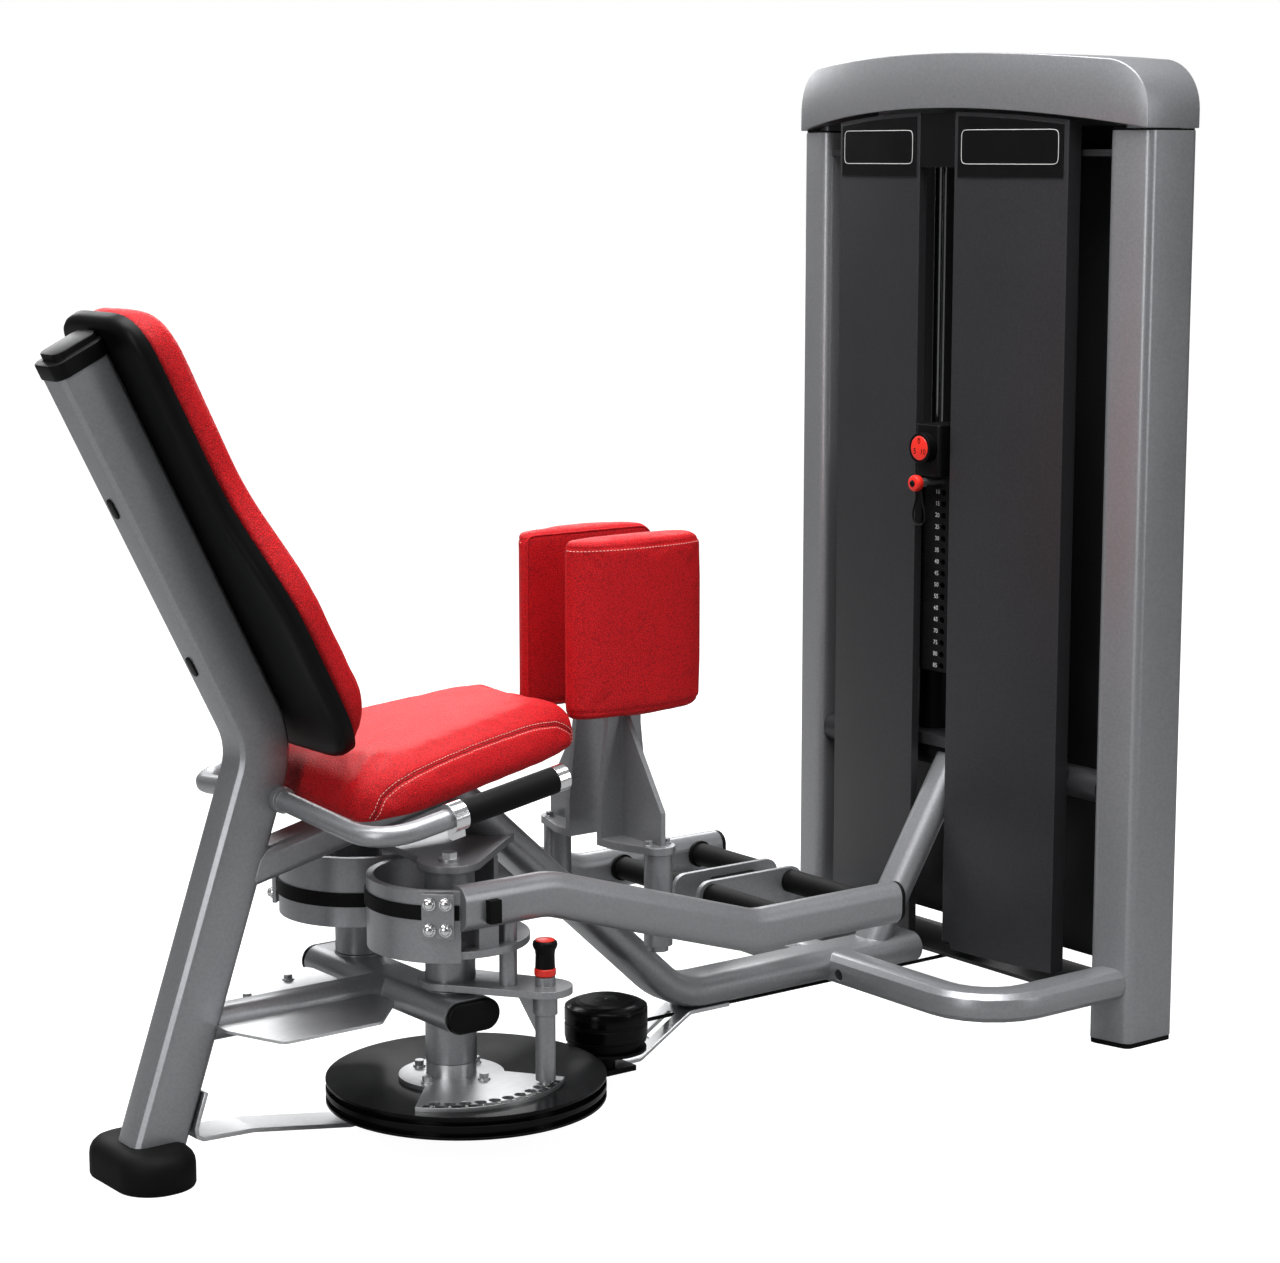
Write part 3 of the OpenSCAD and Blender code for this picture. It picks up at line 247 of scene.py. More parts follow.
# hide-grained vinyl covers: saturated red that lightens where the light grazes it, with painted shade in the creases of
# its grain
red_vinyl = leatherette("red_grained_vinyl", "#80010a", "#bf0710")
# sheet and bar steel, ground along its length
steel = brushed("brushed_steel_plate", "#a3a4a6", "#dadbdc", 0.37, (0.06, 1, 1))
# plated tube and bolts: near-mirror, barely drawn
chrome = brushed("polished_chrome_tube", "#c4c5c6", "#dededf", 0.12, (1, 1, 0.2))
# cast and painted weight plates: dull black with a sandy skin
iron = moulded("black_painted_iron", "#0a0a0b", "#151516", 0.46, 2.4, 0.3)
# printed panels: black film behind a smooth clear face
placard = moulded("black_printed_polycarbonate", "#070708", "#0d0d0e", 0.18, 4.0, 0.02, specular=0.3)
# wire rope in a nylon jacket: black, faintly ribbed by the strands
cable_nylon = moulded("nylon_coated_wire_rope", "#070707", "#121212", 0.35, 2.0, 0.5)
# red knobs and collars, moulded smooth
red_plastic = moulded("red_moulded_abs", "#c21d16", "#d82c1e", 0.36, 1.2, 0.1, specular=0.4)
# waxed upholstery thread, pale against the red
thread = moulded("waxed_sewing_thread", "#c98d86", "#e2b9b2", 0.7, 0.6, 0.4)
# painted shadow inside each seam: a darker copy of the same vinyl
seam_shadow_red = leatherette("red_vinyl_seam_painted_shadow", "#3c0206", "#52040a")
# printed marks, off-white ink
label_white = moulded("off_white_ink", "#b9b9b7", "#cfcfcd", 0.5, 3.0, 0.02)

FINISHES = {
    grey_coat: """rear_upright main_frame handles hub_plate lower_frame columns crown arm_right arm_left
        limiter_lever bracket_right bracket_left clamp_right clamp_left""",
    charcoal_coat: "front_shrouds rear_panels stack_frame",
    gloss_black: "cam_disc",
    abs_black: """upright_cap back_shell seat_base cross_caps redirect_bracket arm_cap_right arm_cap_left pop_pin
        addon_housing dial redirect_pulley foot_pulley head_pulley""",
    rubber_black: """rear_foot grips column_feet stack_bumpers belt_right belt_left rollers_right rollers_left
        foot_stop""",
    red_vinyl: "back_pad seat_pad pad_right pad_left",
    red_plastic: "selector_pin",
    steel: "spindles frame_bolts pulley_brackets sector_plate guard_wings tie_strap",
    chrome: "grip_collars guide_rods",
    iron: "weight_plates head_plate",
    placard: "placards",
    cable_nylon: "cable_run lift_cable",
}


# corners of a solid closer than this are one point, and edges that bend more than this stay crisp
WELD, SHARP_DEG = 0.00002, 28


def new_tree(name, **inputs):
    """A geometry node tree that takes a shape and these inputs and gives a shape, and its input node."""
    tree = bpy.data.node_groups.new(name, "GeometryNodeTree")
    for label, kind in {"Geometry": "Geometry", **inputs}.items():
        tree.interface.new_socket(label, in_out="INPUT", socket_type="NodeSocket" + kind)
    tree.interface.new_socket("Geometry", in_out="OUTPUT", socket_type="NodeSocketGeometry")
    return tree, add(tree, "NodeGroupInput")


def run_tree(piece, tree, **values):
    """Puts a node tree on a piece as a modifier, its inputs set by name."""
    modifier = piece.modifiers.new(tree.name, "NODES")
    modifier.node_group = tree
    for item in tree.interface.items_tree:
        if item.in_out == "INPUT" and item.name in values:
            modifier[item.identifier] = values[item.name]


def shading_tree():
    """Joins the loose triangles of a solid and shades it smooth, except over sharp edges."""
    tree, enter = new_tree("even_shading", Sharp="Float")
    joined = add(tree, "GeometryNodeMergeByDistance", {"Geometry": enter.outputs[0], "Distance": WELD})
    smooth = add(tree, "GeometryNodeSetShadeSmooth", {"Geometry": joined.outputs[0], "Shade Smooth": True},
                 domain="FACE")
    bend = add(tree, "GeometryNodeInputMeshEdgeAngle")
    sharp = add(tree, "FunctionNodeCompare", {0: bend.outputs["Unsigned Angle"], 1: enter.outputs[1]},
                data_type="FLOAT", operation="GREATER_THAN")
    crisp = add(tree, "GeometryNodeSetShadeSmooth",
                {"Geometry": smooth.outputs[0], "Selection": sharp.outputs[0], "Shade Smooth": False}, domain="EDGE")
    add(tree, "NodeGroupOutput", {0: crisp.outputs[0]})
    return tree


even_shading = shading_tree()
for finish, names in FINISHES.items():
    for name in names.split():
        solid = nodes[name]
        solid.data.materials.clear()
        solid.data.materials.append(finish)
        run_tree(solid, even_shading, Sharp=math.radians(SHARP_DEG))

# Lanyard: a short nylon loop that hangs from the selector knob
LANYARD_D, LANYARD_X = 3.4, 1447
half_loop = [(-5.2, 839.6), (-5.6, 833), (-6.6, 826), (-8.6, 819), (-11.2, 812), (-13.2, 805), (-13.9, 798),
             (-12.8, 791.5), (-9.6, 786.6), (-5, 784)]
loop = [(LANYARD_X, y, z) for y, z in half_loop + [(0, 783.2)] + [(-y, z) for y, z in half_loop[::-1]]]
lanyard_line = bpy.data.curves.new("selector_lanyard", "CURVE")
lanyard_line.dimensions = "3D"
lanyard_line.bevel_depth = LANYARD_D / 2000
lanyard_line.bevel_resolution = 3
run = lanyard_line.splines.new("POLY")
run.points.add(len(loop) - 1)
for point, spot in zip(run.points, loop):
    point.co = (*at(*spot), 1)
lanyard_line.materials.append(cable_nylon)
lanyard = linked("selector_lanyard", lanyard_line)
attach(lanyard, "weight_pin")

# Upholstery

SEAT_FRAME = Matrix.Translation((292, 0, 494)) @ Matrix.Rotation(math.radians(-7.5), 4, "Y")
BACK_LEAN = math.atan2(261.2, 523.5)
BACK_FRAME = Matrix.Translation((246.7, 0, 574.5)) @ Matrix.Rotation(-BACK_LEAN, 4, "Y")


def from_frame(place, point):
    """A point in millimetres of a tilted drawing frame, in metres of the row frame."""
    return at(*(place @ Vector(point)))


def even_outline(corners, spacing, rounds):
    """A closed outline with points an equal distance apart, its corners worn round."""
    corners = [Vector(c) for c in corners]
    points = []
    for i, start in enumerate(corners):
        end = corners[(i + 1) % len(corners)]
        steps = max(1, round((end - start).length / spacing))
        points += [start.lerp(end, k / steps) for k in range(steps)]
    for _ in range(rounds):
        points = [points[i - 1] * 0.25 + p * 0.5 + points[(i + 1) % len(points)] * 0.25 for i, p in enumerate(points)]
    return points


def inset(outline, depth):
    """The outline moved inwards along its own normals."""
    moved = []
    for i, point in enumerate(outline):
        along = (outline[(i + 1) % len(outline)] - outline[i - 1]).normalized()
        moved.append(point + Vector((-along.y, along.x)) * depth)
    return moved


def as_piece(name, shape):
    """A finished bmesh as an object of the scene."""
    mesh = bpy.data.meshes.new(name)
    shape.to_mesh(mesh)
    shape.free()
    return linked(name, mesh)


# rings that close a pad's top and bottom, as shares of the way from its middle to its rim
CLOSING_RINGS = (0.92, 0.8, 0.64, 0.46, 0.28, 0.12)


def pad_mesh(name, outline, profile, crown, place):
    """A closed pad: the outline carried up a profile of (inset, height), crowned on top and flat below.
    place turns (outline x, outline y, height) into a point of the row frame."""
    levels = [[(p.x, p.y, height) for p in inset(outline, depth)] for depth, height in profile]
    for level, rise in ((levels[0], 0), (levels[-1], crown)):
        middle = sum((Vector(p) for p in level), Vector()) / len(level)
        spread = [[tuple(middle.lerp(Vector(p), k)[:2]) + (level[0][2] + rise * (1 - k * k),) for p in level]
                  for k in CLOSING_RINGS]
        levels = spread[::-1] + levels if level is levels[0] else levels + spread
    shape = bmesh.new()
    rings = [[shape.verts.new(place(p)) for p in level] for level in levels]
    for low, high in zip(rings, rings[1:]):
        for i in range(len(low)):
            j = (i + 1) % len(low)
            shape.faces.new((low[i], low[j], high[j], high[i]))
    shape.faces.new(rings[0][::-1])
    shape.faces.new(rings[-1])
    bmesh.ops.recalc_face_normals(shape, faces=shape.faces)
    return as_piece(name, shape)


def settle(piece):
    """The piece's mesh with its modifiers carried out."""
    mesh = bpy.data.meshes.new_from_object(piece.evaluated_get(bpy.context.evaluated_depsgraph_get()))
    piece.modifiers.clear()
    piece.data = mesh


# frames that a cover is blown up over
FILL_FRAMES = 20


def stuff(piece, cap, held, voxel=0.0055):
    """Remeshes the cover and blows it up from inside, as foam fills it, by no more than cap.
    Points that held() names stay put."""
    remesh = piece.modifiers.new("even_skin", "REMESH")
    remesh.mode = "VOXEL"
    remesh.voxel_size = voxel
    settle(piece)
    rest = [v.co.copy() for v in piece.data.vertices]
    group = piece.vertex_groups.new(name="held")
    group.add([i for i, co in enumerate(rest) if held(co)], 1, "REPLACE")
    cover = piece.modifiers.new("cover", "CLOTH")
    cover.settings.use_pressure = True
    cover.settings.uniform_pressure_force = 4
    cover.settings.effector_weights.gravity = 0
    cover.settings.vertex_group_mass = "held"
    cover.settings.tension_stiffness = 25
    cover.settings.compression_stiffness = 25
    cover.settings.bending_stiffness = 2
    cover.point_cache.frame_end = FILL_FRAMES
    for step in range(1, FILL_FRAMES + 1):
        scene.frame_set(step)
    settle(piece)
    scene.frame_set(1)
    piece.vertex_groups.clear()
    for vertex, start in zip(piece.data.vertices, rest):
        move = vertex.co - start
        if move.length > cap:
            vertex.co = start + move * (cap / move.length)
    relax = piece.modifiers.new("even_skin", "SMOOTH")
    relax.factor = 0.5
    relax.iterations = 6
    fine = piece.modifiers.new("fine_skin", "SUBSURF")
    fine.levels = fine.render_levels = 1
    settle(piece)
    for face in piece.data.polygons:
        face.use_smooth = True


def surface(piece):
    """The piece's skin as a tree that finds its nearest points."""
    mesh = piece.data
    return BVHTree.FromPolygons([v.co for v in mesh.vertices], [p.vertices for p in mesh.polygons])


def press_seam(piece, lines, width, depth):
    """Draws the cover in along each seam line, as the stitches do. Gives each line as (point, normal) on the cover."""
    skin = surface(piece)
    laid = [[skin.find_nearest(p)[:2] for p in line] for line in lines]
    points = [p for line in laid for p in densify([q[0] for q in line], 0.002)]
    near = KDTree(len(points))
    for i, p in enumerate(points):
        near.insert(p, i)
    near.balance()
    for vertex in piece.data.vertices:
        gap = near.find(vertex.co)[2]
        if gap < width:
            vertex.co -= vertex.normal * depth * (1 - (gap / width) ** 2) ** 2
    return laid


def densify(points, spacing):
    """A polyline with points no further apart than spacing."""
    made = [points[0]]
    for start, end in zip(points, points[1:]):
        steps = max(1, math.ceil((end - start).length / spacing))
        made += [start.lerp(end, k / steps) for k in range(1, steps + 1)]
    return made


def stitch_tree():
    """Short threads laid end to end along a path."""
    tree, enter = new_tree("stitch_row", Pitch="Float", Length="Float", Thickness="Float", Thread="Material")
    path = add(tree, "GeometryNodeMeshToCurve", {"Mesh": enter.outputs["Geometry"]})
    evened = add(tree, "GeometryNodeResampleCurve", {"Curve": path.outputs[0], "Length": enter.outputs["Pitch"]},
                 mode="LENGTH")
    bead = add(tree, "GeometryNodeMeshUVSphere", {"Segments": 8, "Rings": 5, "Radius": 0.5})
    size = add(tree, "ShaderNodeCombineXYZ", {0: enter.outputs["Thickness"], 1: enter.outputs["Thickness"],
                                               2: enter.outputs["Length"]})
    ahead = add(tree, "GeometryNodeInputTangent")
    turned = add(tree, "FunctionNodeAlignRotationToVector", {"Vector": ahead.outputs[0]}, axis="Z")
    laid = add(tree, "GeometryNodeInstanceOnPoints",
               {"Points": evened.outputs[0], "Instance": bead.outputs[0], "Rotation": turned.outputs[0],
                "Scale": size.outputs[0]})
    real = add(tree, "GeometryNodeRealizeInstances", {"Geometry": laid.outputs[0]})
    smooth = add(tree, "GeometryNodeSetShadeSmooth", {"Geometry": real.outputs[0]})
    inked = add(tree, "GeometryNodeSetMaterial", {"Geometry": smooth.outputs[0], "Material": enter.outputs["Thread"]})
    add(tree, "NodeGroupOutput", {0: inked.outputs[0]})
    return tree


stitch_row = stitch_tree()


def wires(name, rows, closed):
    """Rows of points joined by edges, as one piece."""
    points, edges = [], []
    for row in rows:
        start = len(points)
        points += row
        edges += [(start + i, start + (i + 1) % len(row)) for i in range(len(row) - (not closed))]
    mesh = bpy.data.meshes.new(name)
    mesh.from_pydata(points, edges, [])
    return linked(name, mesh)


def stitches(name, rows, body):
    """Rows of thread along paths that lie on a cover, as one piece of that body."""
    piece = wires(name, rows, False)
    run_tree(piece, stitch_row, Pitch=0.0055, Length=0.0042, Thickness=0.0011, Thread=thread)
    settle(piece)
    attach(piece, body)


def beside(laid, offset):
    """A row beside a seam that lies on a cover, at an offset across it."""
    made = []
    for i, (point, normal) in enumerate(laid):
        ahead = (laid[min(i + 1, len(laid) - 1)][0] - laid[max(i - 1, 0)][0]).normalized()
        made.append(point + ahead.cross(normal).normalized() * offset)
    return made


def lay_on(piece, row, lift):
    """A row drawn onto the cover as it is now, lifted off its surface."""
    skin = surface(piece)
    hits = [skin.find_nearest(p) for p in row]
    return [h[0] + h[1] * lift for h in hits]


def dress(piece, node, body):
    """Covers a pad in vinyl and puts it in the place of its solid."""
    piece.data.materials.clear()
    piece.data.materials.append(red_vinyl)
    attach(piece, body)
    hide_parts(node)


def line_tree():
    """A round bead along a path, such as piping or a printed rule."""
    tree, enter = new_tree("bead_line", Radius="Float", Finish="Material")
    path = add(tree, "GeometryNodeMeshToCurve", {"Mesh": enter.outputs["Geometry"]})
    ring = add(tree, "GeometryNodeCurvePrimitiveCircle", {"Resolution": 8, "Radius": enter.outputs["Radius"]})
    swept = add(tree, "GeometryNodeCurveToMesh", {"Curve": path.outputs[0], "Profile Curve": ring.outputs["Curve"],
                                                  "Fill Caps": True})
    smooth = add(tree, "GeometryNodeSetShadeSmooth", {"Geometry": swept.outputs[0]})
    real = add(tree, "GeometryNodeRealizeInstances", {"Geometry": smooth.outputs[0]})
    inked = add(tree, "GeometryNodeSetMaterial", {"Geometry": real.outputs[0], "Material": enter.outputs["Finish"]})
    add(tree, "NodeGroupOutput", {0: inked.outputs[0]})
    return tree


bead_line = line_tree()


def beads(name, lines, radius, finish, body, closed=True):
    """Beads along lines of points, as one piece of that body."""
    piece = wires(name, lines, closed)
    run_tree(piece, bead_line, Radius=radius, Finish=finish)
    settle(piece)
    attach(piece, body)


# Seat: top panel with a half-moon cheek on each side, sewn with two rows
SEAT_CORNERS = [(4, -162), (90, -188), (346, -136), (420, -102), (420, 102), (346, 136), (90, 188), (4, 162)]
SEAT_PROFILE = [(22, -17), (8, -15), (2, -8), (0, 2), (0, 14), (1.5, 25), (6, 35), (14, 45), (25, 52), (40, 57)]
CHEEK_SEAM = [(24, -170, -15), (28, -174, -4), (34, -177, 8), (42, -179, 20), (67, -181, 35), (101, -182, 45),
              (155, -173, 52), (212, -160, 53), (270, -147, 50), (327, -134, 44), (376, -119, 30), (404, -108, 8),
              (408, -106, -12)]
SEAT_HELD, BACK_HELD = -8, 67  # millimetres of each pad's own frame, below and behind which its cover is held
STITCH_LIFT, SEAT_STITCH_GAP, PAD_STITCH_GAP = 0.0002, 0.004, 0.0035
seat = pad_mesh("seat_cushion", even_outline(SEAT_CORNERS, 7, 14), SEAT_PROFILE, 6,
                lambda p: from_frame(SEAT_FRAME, p))
seat_under = SEAT_FRAME.inverted()
stuff(seat, 0.005, lambda co: (seat_under @ (co * 1000 + DRAWING_ORIGIN)).z < SEAT_HELD)
cheeks = [densify([from_frame(SEAT_FRAME, (x, y * side, z)) for x, y, z in CHEEK_SEAM], 0.006) for side in (1, -1)]
seat_seams = press_seam(seat, cheeks, 0.007, 0.0022)
stitches("seat_stitches", [lay_on(seat, beside(line, gap), STITCH_LIFT) for line in seat_seams
                           for gap in (-SEAT_STITCH_GAP, SEAT_STITCH_GAP)], "frame")
# dark beads of painted shadow laid along each seam, sunk a little into the cover
beads("seat_seams", [lay_on(seat, [q[0] for q in line], -0.0001) for line in seat_seams], 0.0006, seam_shadow_red, "frame",
      closed=False)
dress(seat, "seat_pad", "frame")


# Back pad: waisted outline on the moulded shell, which narrows from WAIST in steps
WAIST, WAIST_STEP, WAIST_STEPS = 170, 22, 10


def back_outline(low_half, top_half, low, top):
    """Half widths below and above the waist, and the heights of both ends, along the back."""
    right = [(low, low_half - 58), (low + 14, low_half - 20), (low + 60, low_half), (WAIST, low_half)]
    right += [(WAIST + WAIST_STEP * i,
               low_half + (top_half - low_half) * (1 - math.cos(math.pi * i / WAIST_STEPS)) / 2)
              for i in range(1, WAIST_STEPS + 1)]
    right += [(top - 45, top_half), (top - 13, top_half - 13), (top, top_half - 45)]
    return [(u, -y) for u, y in right] + right[::-1]


BACK_LOW, BACK_THIN, BACK_REAR = -32, 88, 62.8


def thinned(u, depth):
    """The depth of a point of the back cover, which thins out over its lowest hand's breadth."""
    share = min(1, max(0, (u - BACK_LOW) / BACK_THIN))
    return BACK_REAR + (depth - BACK_REAR) * (0.3 + 0.7 * math.sin(share * math.pi / 2))


BACK_PROFILE = [(9, BACK_REAR), (2, 66), (0, 72), (0, 85), (2.5, 95), (9, 103), (20, 107.5)]
back = pad_mesh("back_cushion", even_outline(back_outline(154, 98, BACK_LOW, 623), 7, 14), BACK_PROFILE, 3,
                lambda p: from_frame(BACK_FRAME, (thinned(p[0], p[2]), p[1], p[0])))
back_behind = BACK_FRAME.inverted()
stuff(back, 0.003, lambda co: (back_behind @ (co * 1000 + DRAWING_ORIGIN)).x < BACK_HELD)
dress(back, "back_pad", "frame")


# Thigh pads: D-shaped roll on a flat board, with a sewn cap top and bottom
PAD_HALF, PAD_HIGH, PAD_LOW = 119.5, 262, 560
PAD_X, PAD_Y = 836, 44.3
PAD_PLAN = [(PAD_HALF, -1), (-PAD_HALF, -1)] + [
    (PAD_HALF * t, -20 - 33 * math.sqrt(1 - 0.96 * t * t)) for t in (k / 10 - 1 for k in range(21))]
PAD_PROFILE = [(12, 0.5), (4, 2), (1, 7), (0, 16), (0, 70), (0, 131), (0, 192), (0, 246), (1, 255), (4, 260),
               (12, 261.5)]
NOSE = 26  # radius of the two corners towards the tower
PAD_SEAM, PIPING_IN = 12, 5  # how far the cap seams and the piping lie from the pad's edges


def thigh_pad(side, node, body):
    """The pad of one side with its stitches and the piping round its board."""
    def place(p):
        x, y, z = p
        edge = max(0, min(z, PAD_HIGH - z))
        if x > 0 and edge < NOSE:
            x *= 1 - (NOSE - math.sqrt(NOSE ** 2 - (NOSE - edge) ** 2)) / PAD_HALF
        return at(PAD_X + x, side * (y - PAD_Y), PAD_LOW + z)

    rim = even_outline(PAD_PLAN, 6, 5)
    pad = pad_mesh(node.replace("pad", "thigh_pad"), rim, PAD_PROFILE, 2, place)
    stuff(pad, 0.0014, lambda co: abs(co.y) < 0.05, 0.004)
    seams = []
    for level in (PAD_SEAM, PAD_HIGH - PAD_SEAM):
        line = [place((p.x, p.y, level)) for p in rim if p.y < -12]
        first = max(range(len(line)), key=lambda i: (line[i] - line[i - 1]).length)
        seams.append(densify(line[first:] + line[:first], 0.005))
    laid = press_seam(pad, seams, 0.004, 0.0009)
    stitches(node + "_stitches", [lay_on(pad, beside(laid[1], PAD_STITCH_GAP * side), STITCH_LIFT)], body)
    reach, top = PAD_HALF - PIPING_IN, PAD_HIGH - PIPING_IN
    border = even_outline([(-reach, PIPING_IN), (reach, PIPING_IN), (reach, top), (-reach, top)], 5, 6)
    piping = lay_on(pad, [place((p.x, -1, p.y)) for p in border], 0.0002)
    beads(node + "_piping", [piping], 0.0016, red_vinyl, body)
    dress(pad, node, body)


thigh_pad(1, "pad_right", "right_pad")
thigh_pad(-1, "pad_left", "left_pad")


# Rigid details

def fit_out(piece, finish, body, stands_for=None, sharp=SHARP_DEG):
    """Shades and paints a piece, and fixes it to its body."""
    run_tree(piece, even_shading, Sharp=math.radians(sharp))
    settle(piece)
    piece.data.materials.clear()
    piece.data.materials.append(finish)
    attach(piece, body)
    if stands_for:
        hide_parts(stands_for)


# edges of a moulding that bend less than this are shaded smooth
SOFT_DEG = 50


def soften(name, node, width, finish, body, edge=40, above=-1.0):
    """A moulded copy of a solid in its place, its sharp edges rounded where they lie above a height."""
    shape = bmesh.new()
    shape.from_mesh(nodes[node].data)
    bmesh.ops.remove_doubles(shape, verts=shape.verts, dist=WELD)
    bmesh.ops.dissolve_limit(shape, angle_limit=math.radians(0.6), verts=shape.verts, edges=shape.edges)
    weight = shape.edges.layers.float.new("bevel_weight_edge")
    for line in shape.edges:
        low = min(corner.co.z for corner in line.verts)
        if line.is_manifold and line.calc_face_angle() > math.radians(edge) and low > above:
            line[weight] = 1
    piece = as_piece(name, shape)
    bevel = piece.modifiers.new("rounded_edges", "BEVEL")
    bevel.width = width / 1000
    bevel.segments = 3
    bevel.limit_method = "WEIGHT"
    fit_out(piece, finish, body, node, SOFT_DEG)


def turned(name, profile, place, steps=48):
    """A closed shape turned on a lathe: profile runs from end to end as (radius, height), both ends on the axis,
    and place puts (across, up, height) in the row frame."""
    shape = bmesh.new()
    rings = []
    for radius, height in profile:
        angles = [2 * math.pi * k / steps for k in range(steps if radius else 1)]
        rings.append([shape.verts.new(place((radius * math.cos(a), radius * math.sin(a), height))) for a in angles])
    for low, high in zip(rings, rings[1:]):
        for k in range(steps):
            corners = (low[k % len(low)], low[(k + 1) % len(low)], high[(k + 1) % len(high)], high[k % len(high)])
            shape.faces.new(list(dict.fromkeys(corners)))
    bmesh.ops.recalc_face_normals(shape, faces=shape.faces)
    return as_piece(name, shape)


def upright(x, y):
    """Places a turned shape on a vertical axis."""
    return lambda p: at(x + p[0], y + p[1], p[2])


def forward(x, y, z):
    """Places a turned shape on an axis along X."""
    return lambda p: at(x + p[2], y + p[0], z + p[1])


# Selector pin: red knob with a waist, on a plain steel shaft
PIN_FRONT, PIN_Z = 1432, 850.8
SELECTOR_AXIS = forward(PIN_FRONT, 0, PIN_Z)
fit_out(turned("selector_knob", [(0, 0), (8, 0.2), (11.6, 1.6), (13, 4.6), (13, 9), (12, 13), (9.6, 15), (7.4, 17),
                                 (0, 17.4)], SELECTOR_AXIS),
        red_plastic, "weight_pin", "selector_pin")
fit_out(turned("selector_shaft", [(0, 16), (7.2, 16), (7.2, 27), (4.5, 28), (4.5, 126.5), (3.6, 128.6),
                                  (0, 129)], SELECTOR_AXIS),
        steel, "weight_pin")
fit_out(turned("selector_plug", [(0, -2.4), (3.4, -2.2), (5.2, -1), (5.4, 0.8), (0, 0.9)], SELECTOR_AXIS),
        abs_black, "weight_pin")

# Add-on dial: red face let into the black knob
DIAL_FRONT, DIAL_Z = 1446, 906
fit_out(turned("dial_face", [(0, -1.4), (17, -1.3), (18.8, -0.8), (19.4, 0.3), (0, 0.4)],
               forward(DIAL_FRONT, 0, DIAL_Z)),
        red_plastic, "addon_dial")

# Pop pin of the range limiter: flared black knob, red cap and collar, steel plunger
PIN_AXIS = upright(549, -237)
fit_out(turned("pop_pin_knob", [(0, 261.6), (12.6, 261.6), (14, 263), (13.6, 270), (13.4, 281), (14.2, 287),
                                (16.6, 291.6), (17.4, 295), (16.6, 299), (14.4, 300.8), (0, 301)], PIN_AXIS),
        abs_black, "limiter_pin", "pop_pin")
fit_out(turned("pop_pin_cap", [(0, 300.6), (13.6, 300.6), (13.2, 302), (9, 303), (0, 303.4)], PIN_AXIS),
        red_plastic, "limiter_pin")
fit_out(turned("pop_pin_collar", [(0, 251.2), (13.8, 251.2), (15, 252.4), (15.2, 256), (15, 260.6), (13.8, 261.8),
                                  (0, 261.8)], PIN_AXIS), red_plastic, "limiter_pin")
fit_out(turned("pop_pin_plunger", [(0, 93), (7, 93.2), (8, 95), (8, 252), (0, 252)], PIN_AXIS),
        steel, "limiter_pin")

# Cable pulley cover: two moulded shells with a groove between them and a low domed lid
PULLEY = (788, -54)
fit_out(turned("redirect_cover", [(0, 79.2), (60, 79.2), (61.5, 81), (61.6, 98), (59.4, 99.4), (59.4, 102.4),
                                  (61.6, 104), (61.6, 122), (59.6, 126), (54, 129), (40, 132), (18, 134), (0, 134.6)],
               upright(*PULLEY)), gloss_black, "frame")

# Rear foot: rubber cup with rounded shoulders
FOOT = [(50 + sx * 3 + 52 * math.cos(math.radians(a)), sy * 36 + 52 * math.sin(math.radians(a)))
        for sx, sy, start in ((1, 1, 0), (-1, 1, 90), (-1, -1, 180), (1, -1, 270)) for a in range(start, start + 91, 6)]
FOOT_PROFILE = [(5, 0), (1.4, 1), (0, 4), (0, 30), (1, 37), (4, 43), (9, 48), (16, 51), (22, 52)]
fit_out(pad_mesh("rear_foot_cup", [Vector(p) for p in FOOT], FOOT_PROFILE, 0.2, lambda p: at(*p)),
        rubber_black, "frame", "rear_foot", SOFT_DEG)

# Back shell and upright cap: black mouldings with rounded rims
SHELL_PROFILE = [(17, 40.2), (9, 41.4), (4, 44), (1, 48.5), (0, 54), (0, 62.4)]
fit_out(pad_mesh("back_moulding", even_outline(back_outline(160, 105, -36.5, 630), 7, 8), SHELL_PROFILE, 0.1,
                 lambda p: from_frame(BACK_FRAME, (p[2], p[1], p[0]))),
        abs_black, "frame", "back_shell", SOFT_DEG)
soften("upright_end_cap", "upright_cap", 6, abs_black, "frame")
soften("crown_casting", "crown", 8, grey_coat, "frame", 35, 1.4005)

# Crown joint: a thin black strip fills the joint between each column and the crown, a dark piece of painted shade that
# stands for the shade in that joint
COLUMN_TOP, SHADE_STRIP_IN, SHADE_STRIP_HIGH = 1.4, 0.0012, 0.0032
joint = bmesh.new()
joint.from_mesh(nodes["columns"].data)
bmesh.ops.remove_doubles(joint, verts=joint.verts, dist=WELD)
sides = [face for face in joint.faces if face.normal.z < 0.9 or face.calc_center_median().z < COLUMN_TOP - 0.001]
bmesh.ops.delete(joint, geom=sides, context="FACES")
rim = bmesh.ops.inset_region(joint, faces=joint.faces[:], thickness=SHADE_STRIP_IN, use_boundary=True)["faces"]
bmesh.ops.delete(joint, geom=rim, context="FACES")
raised = bmesh.ops.extrude_face_region(joint, geom=joint.faces[:])["geom"]
bmesh.ops.translate(joint, verts=[v for v in raised if isinstance(v, bmesh.types.BMVert)], vec=(0, 0, SHADE_STRIP_HIGH))
bmesh.ops.recalc_face_normals(joint, faces=joint.faces)
fit_out(as_piece("crown_gasket", joint), rubber_black, "frame")

# Small mouldings with rounded rims
soften("cross_tube_plugs", "cross_caps", 4, abs_black, "frame")
soften("right_arm_plug", "arm_cap_right", 4, abs_black, "right_arm")
soften("left_arm_plug", "arm_cap_left", 4, abs_black, "left_arm")
soften("addon_case", "addon_housing", 3, abs_black, "stack")


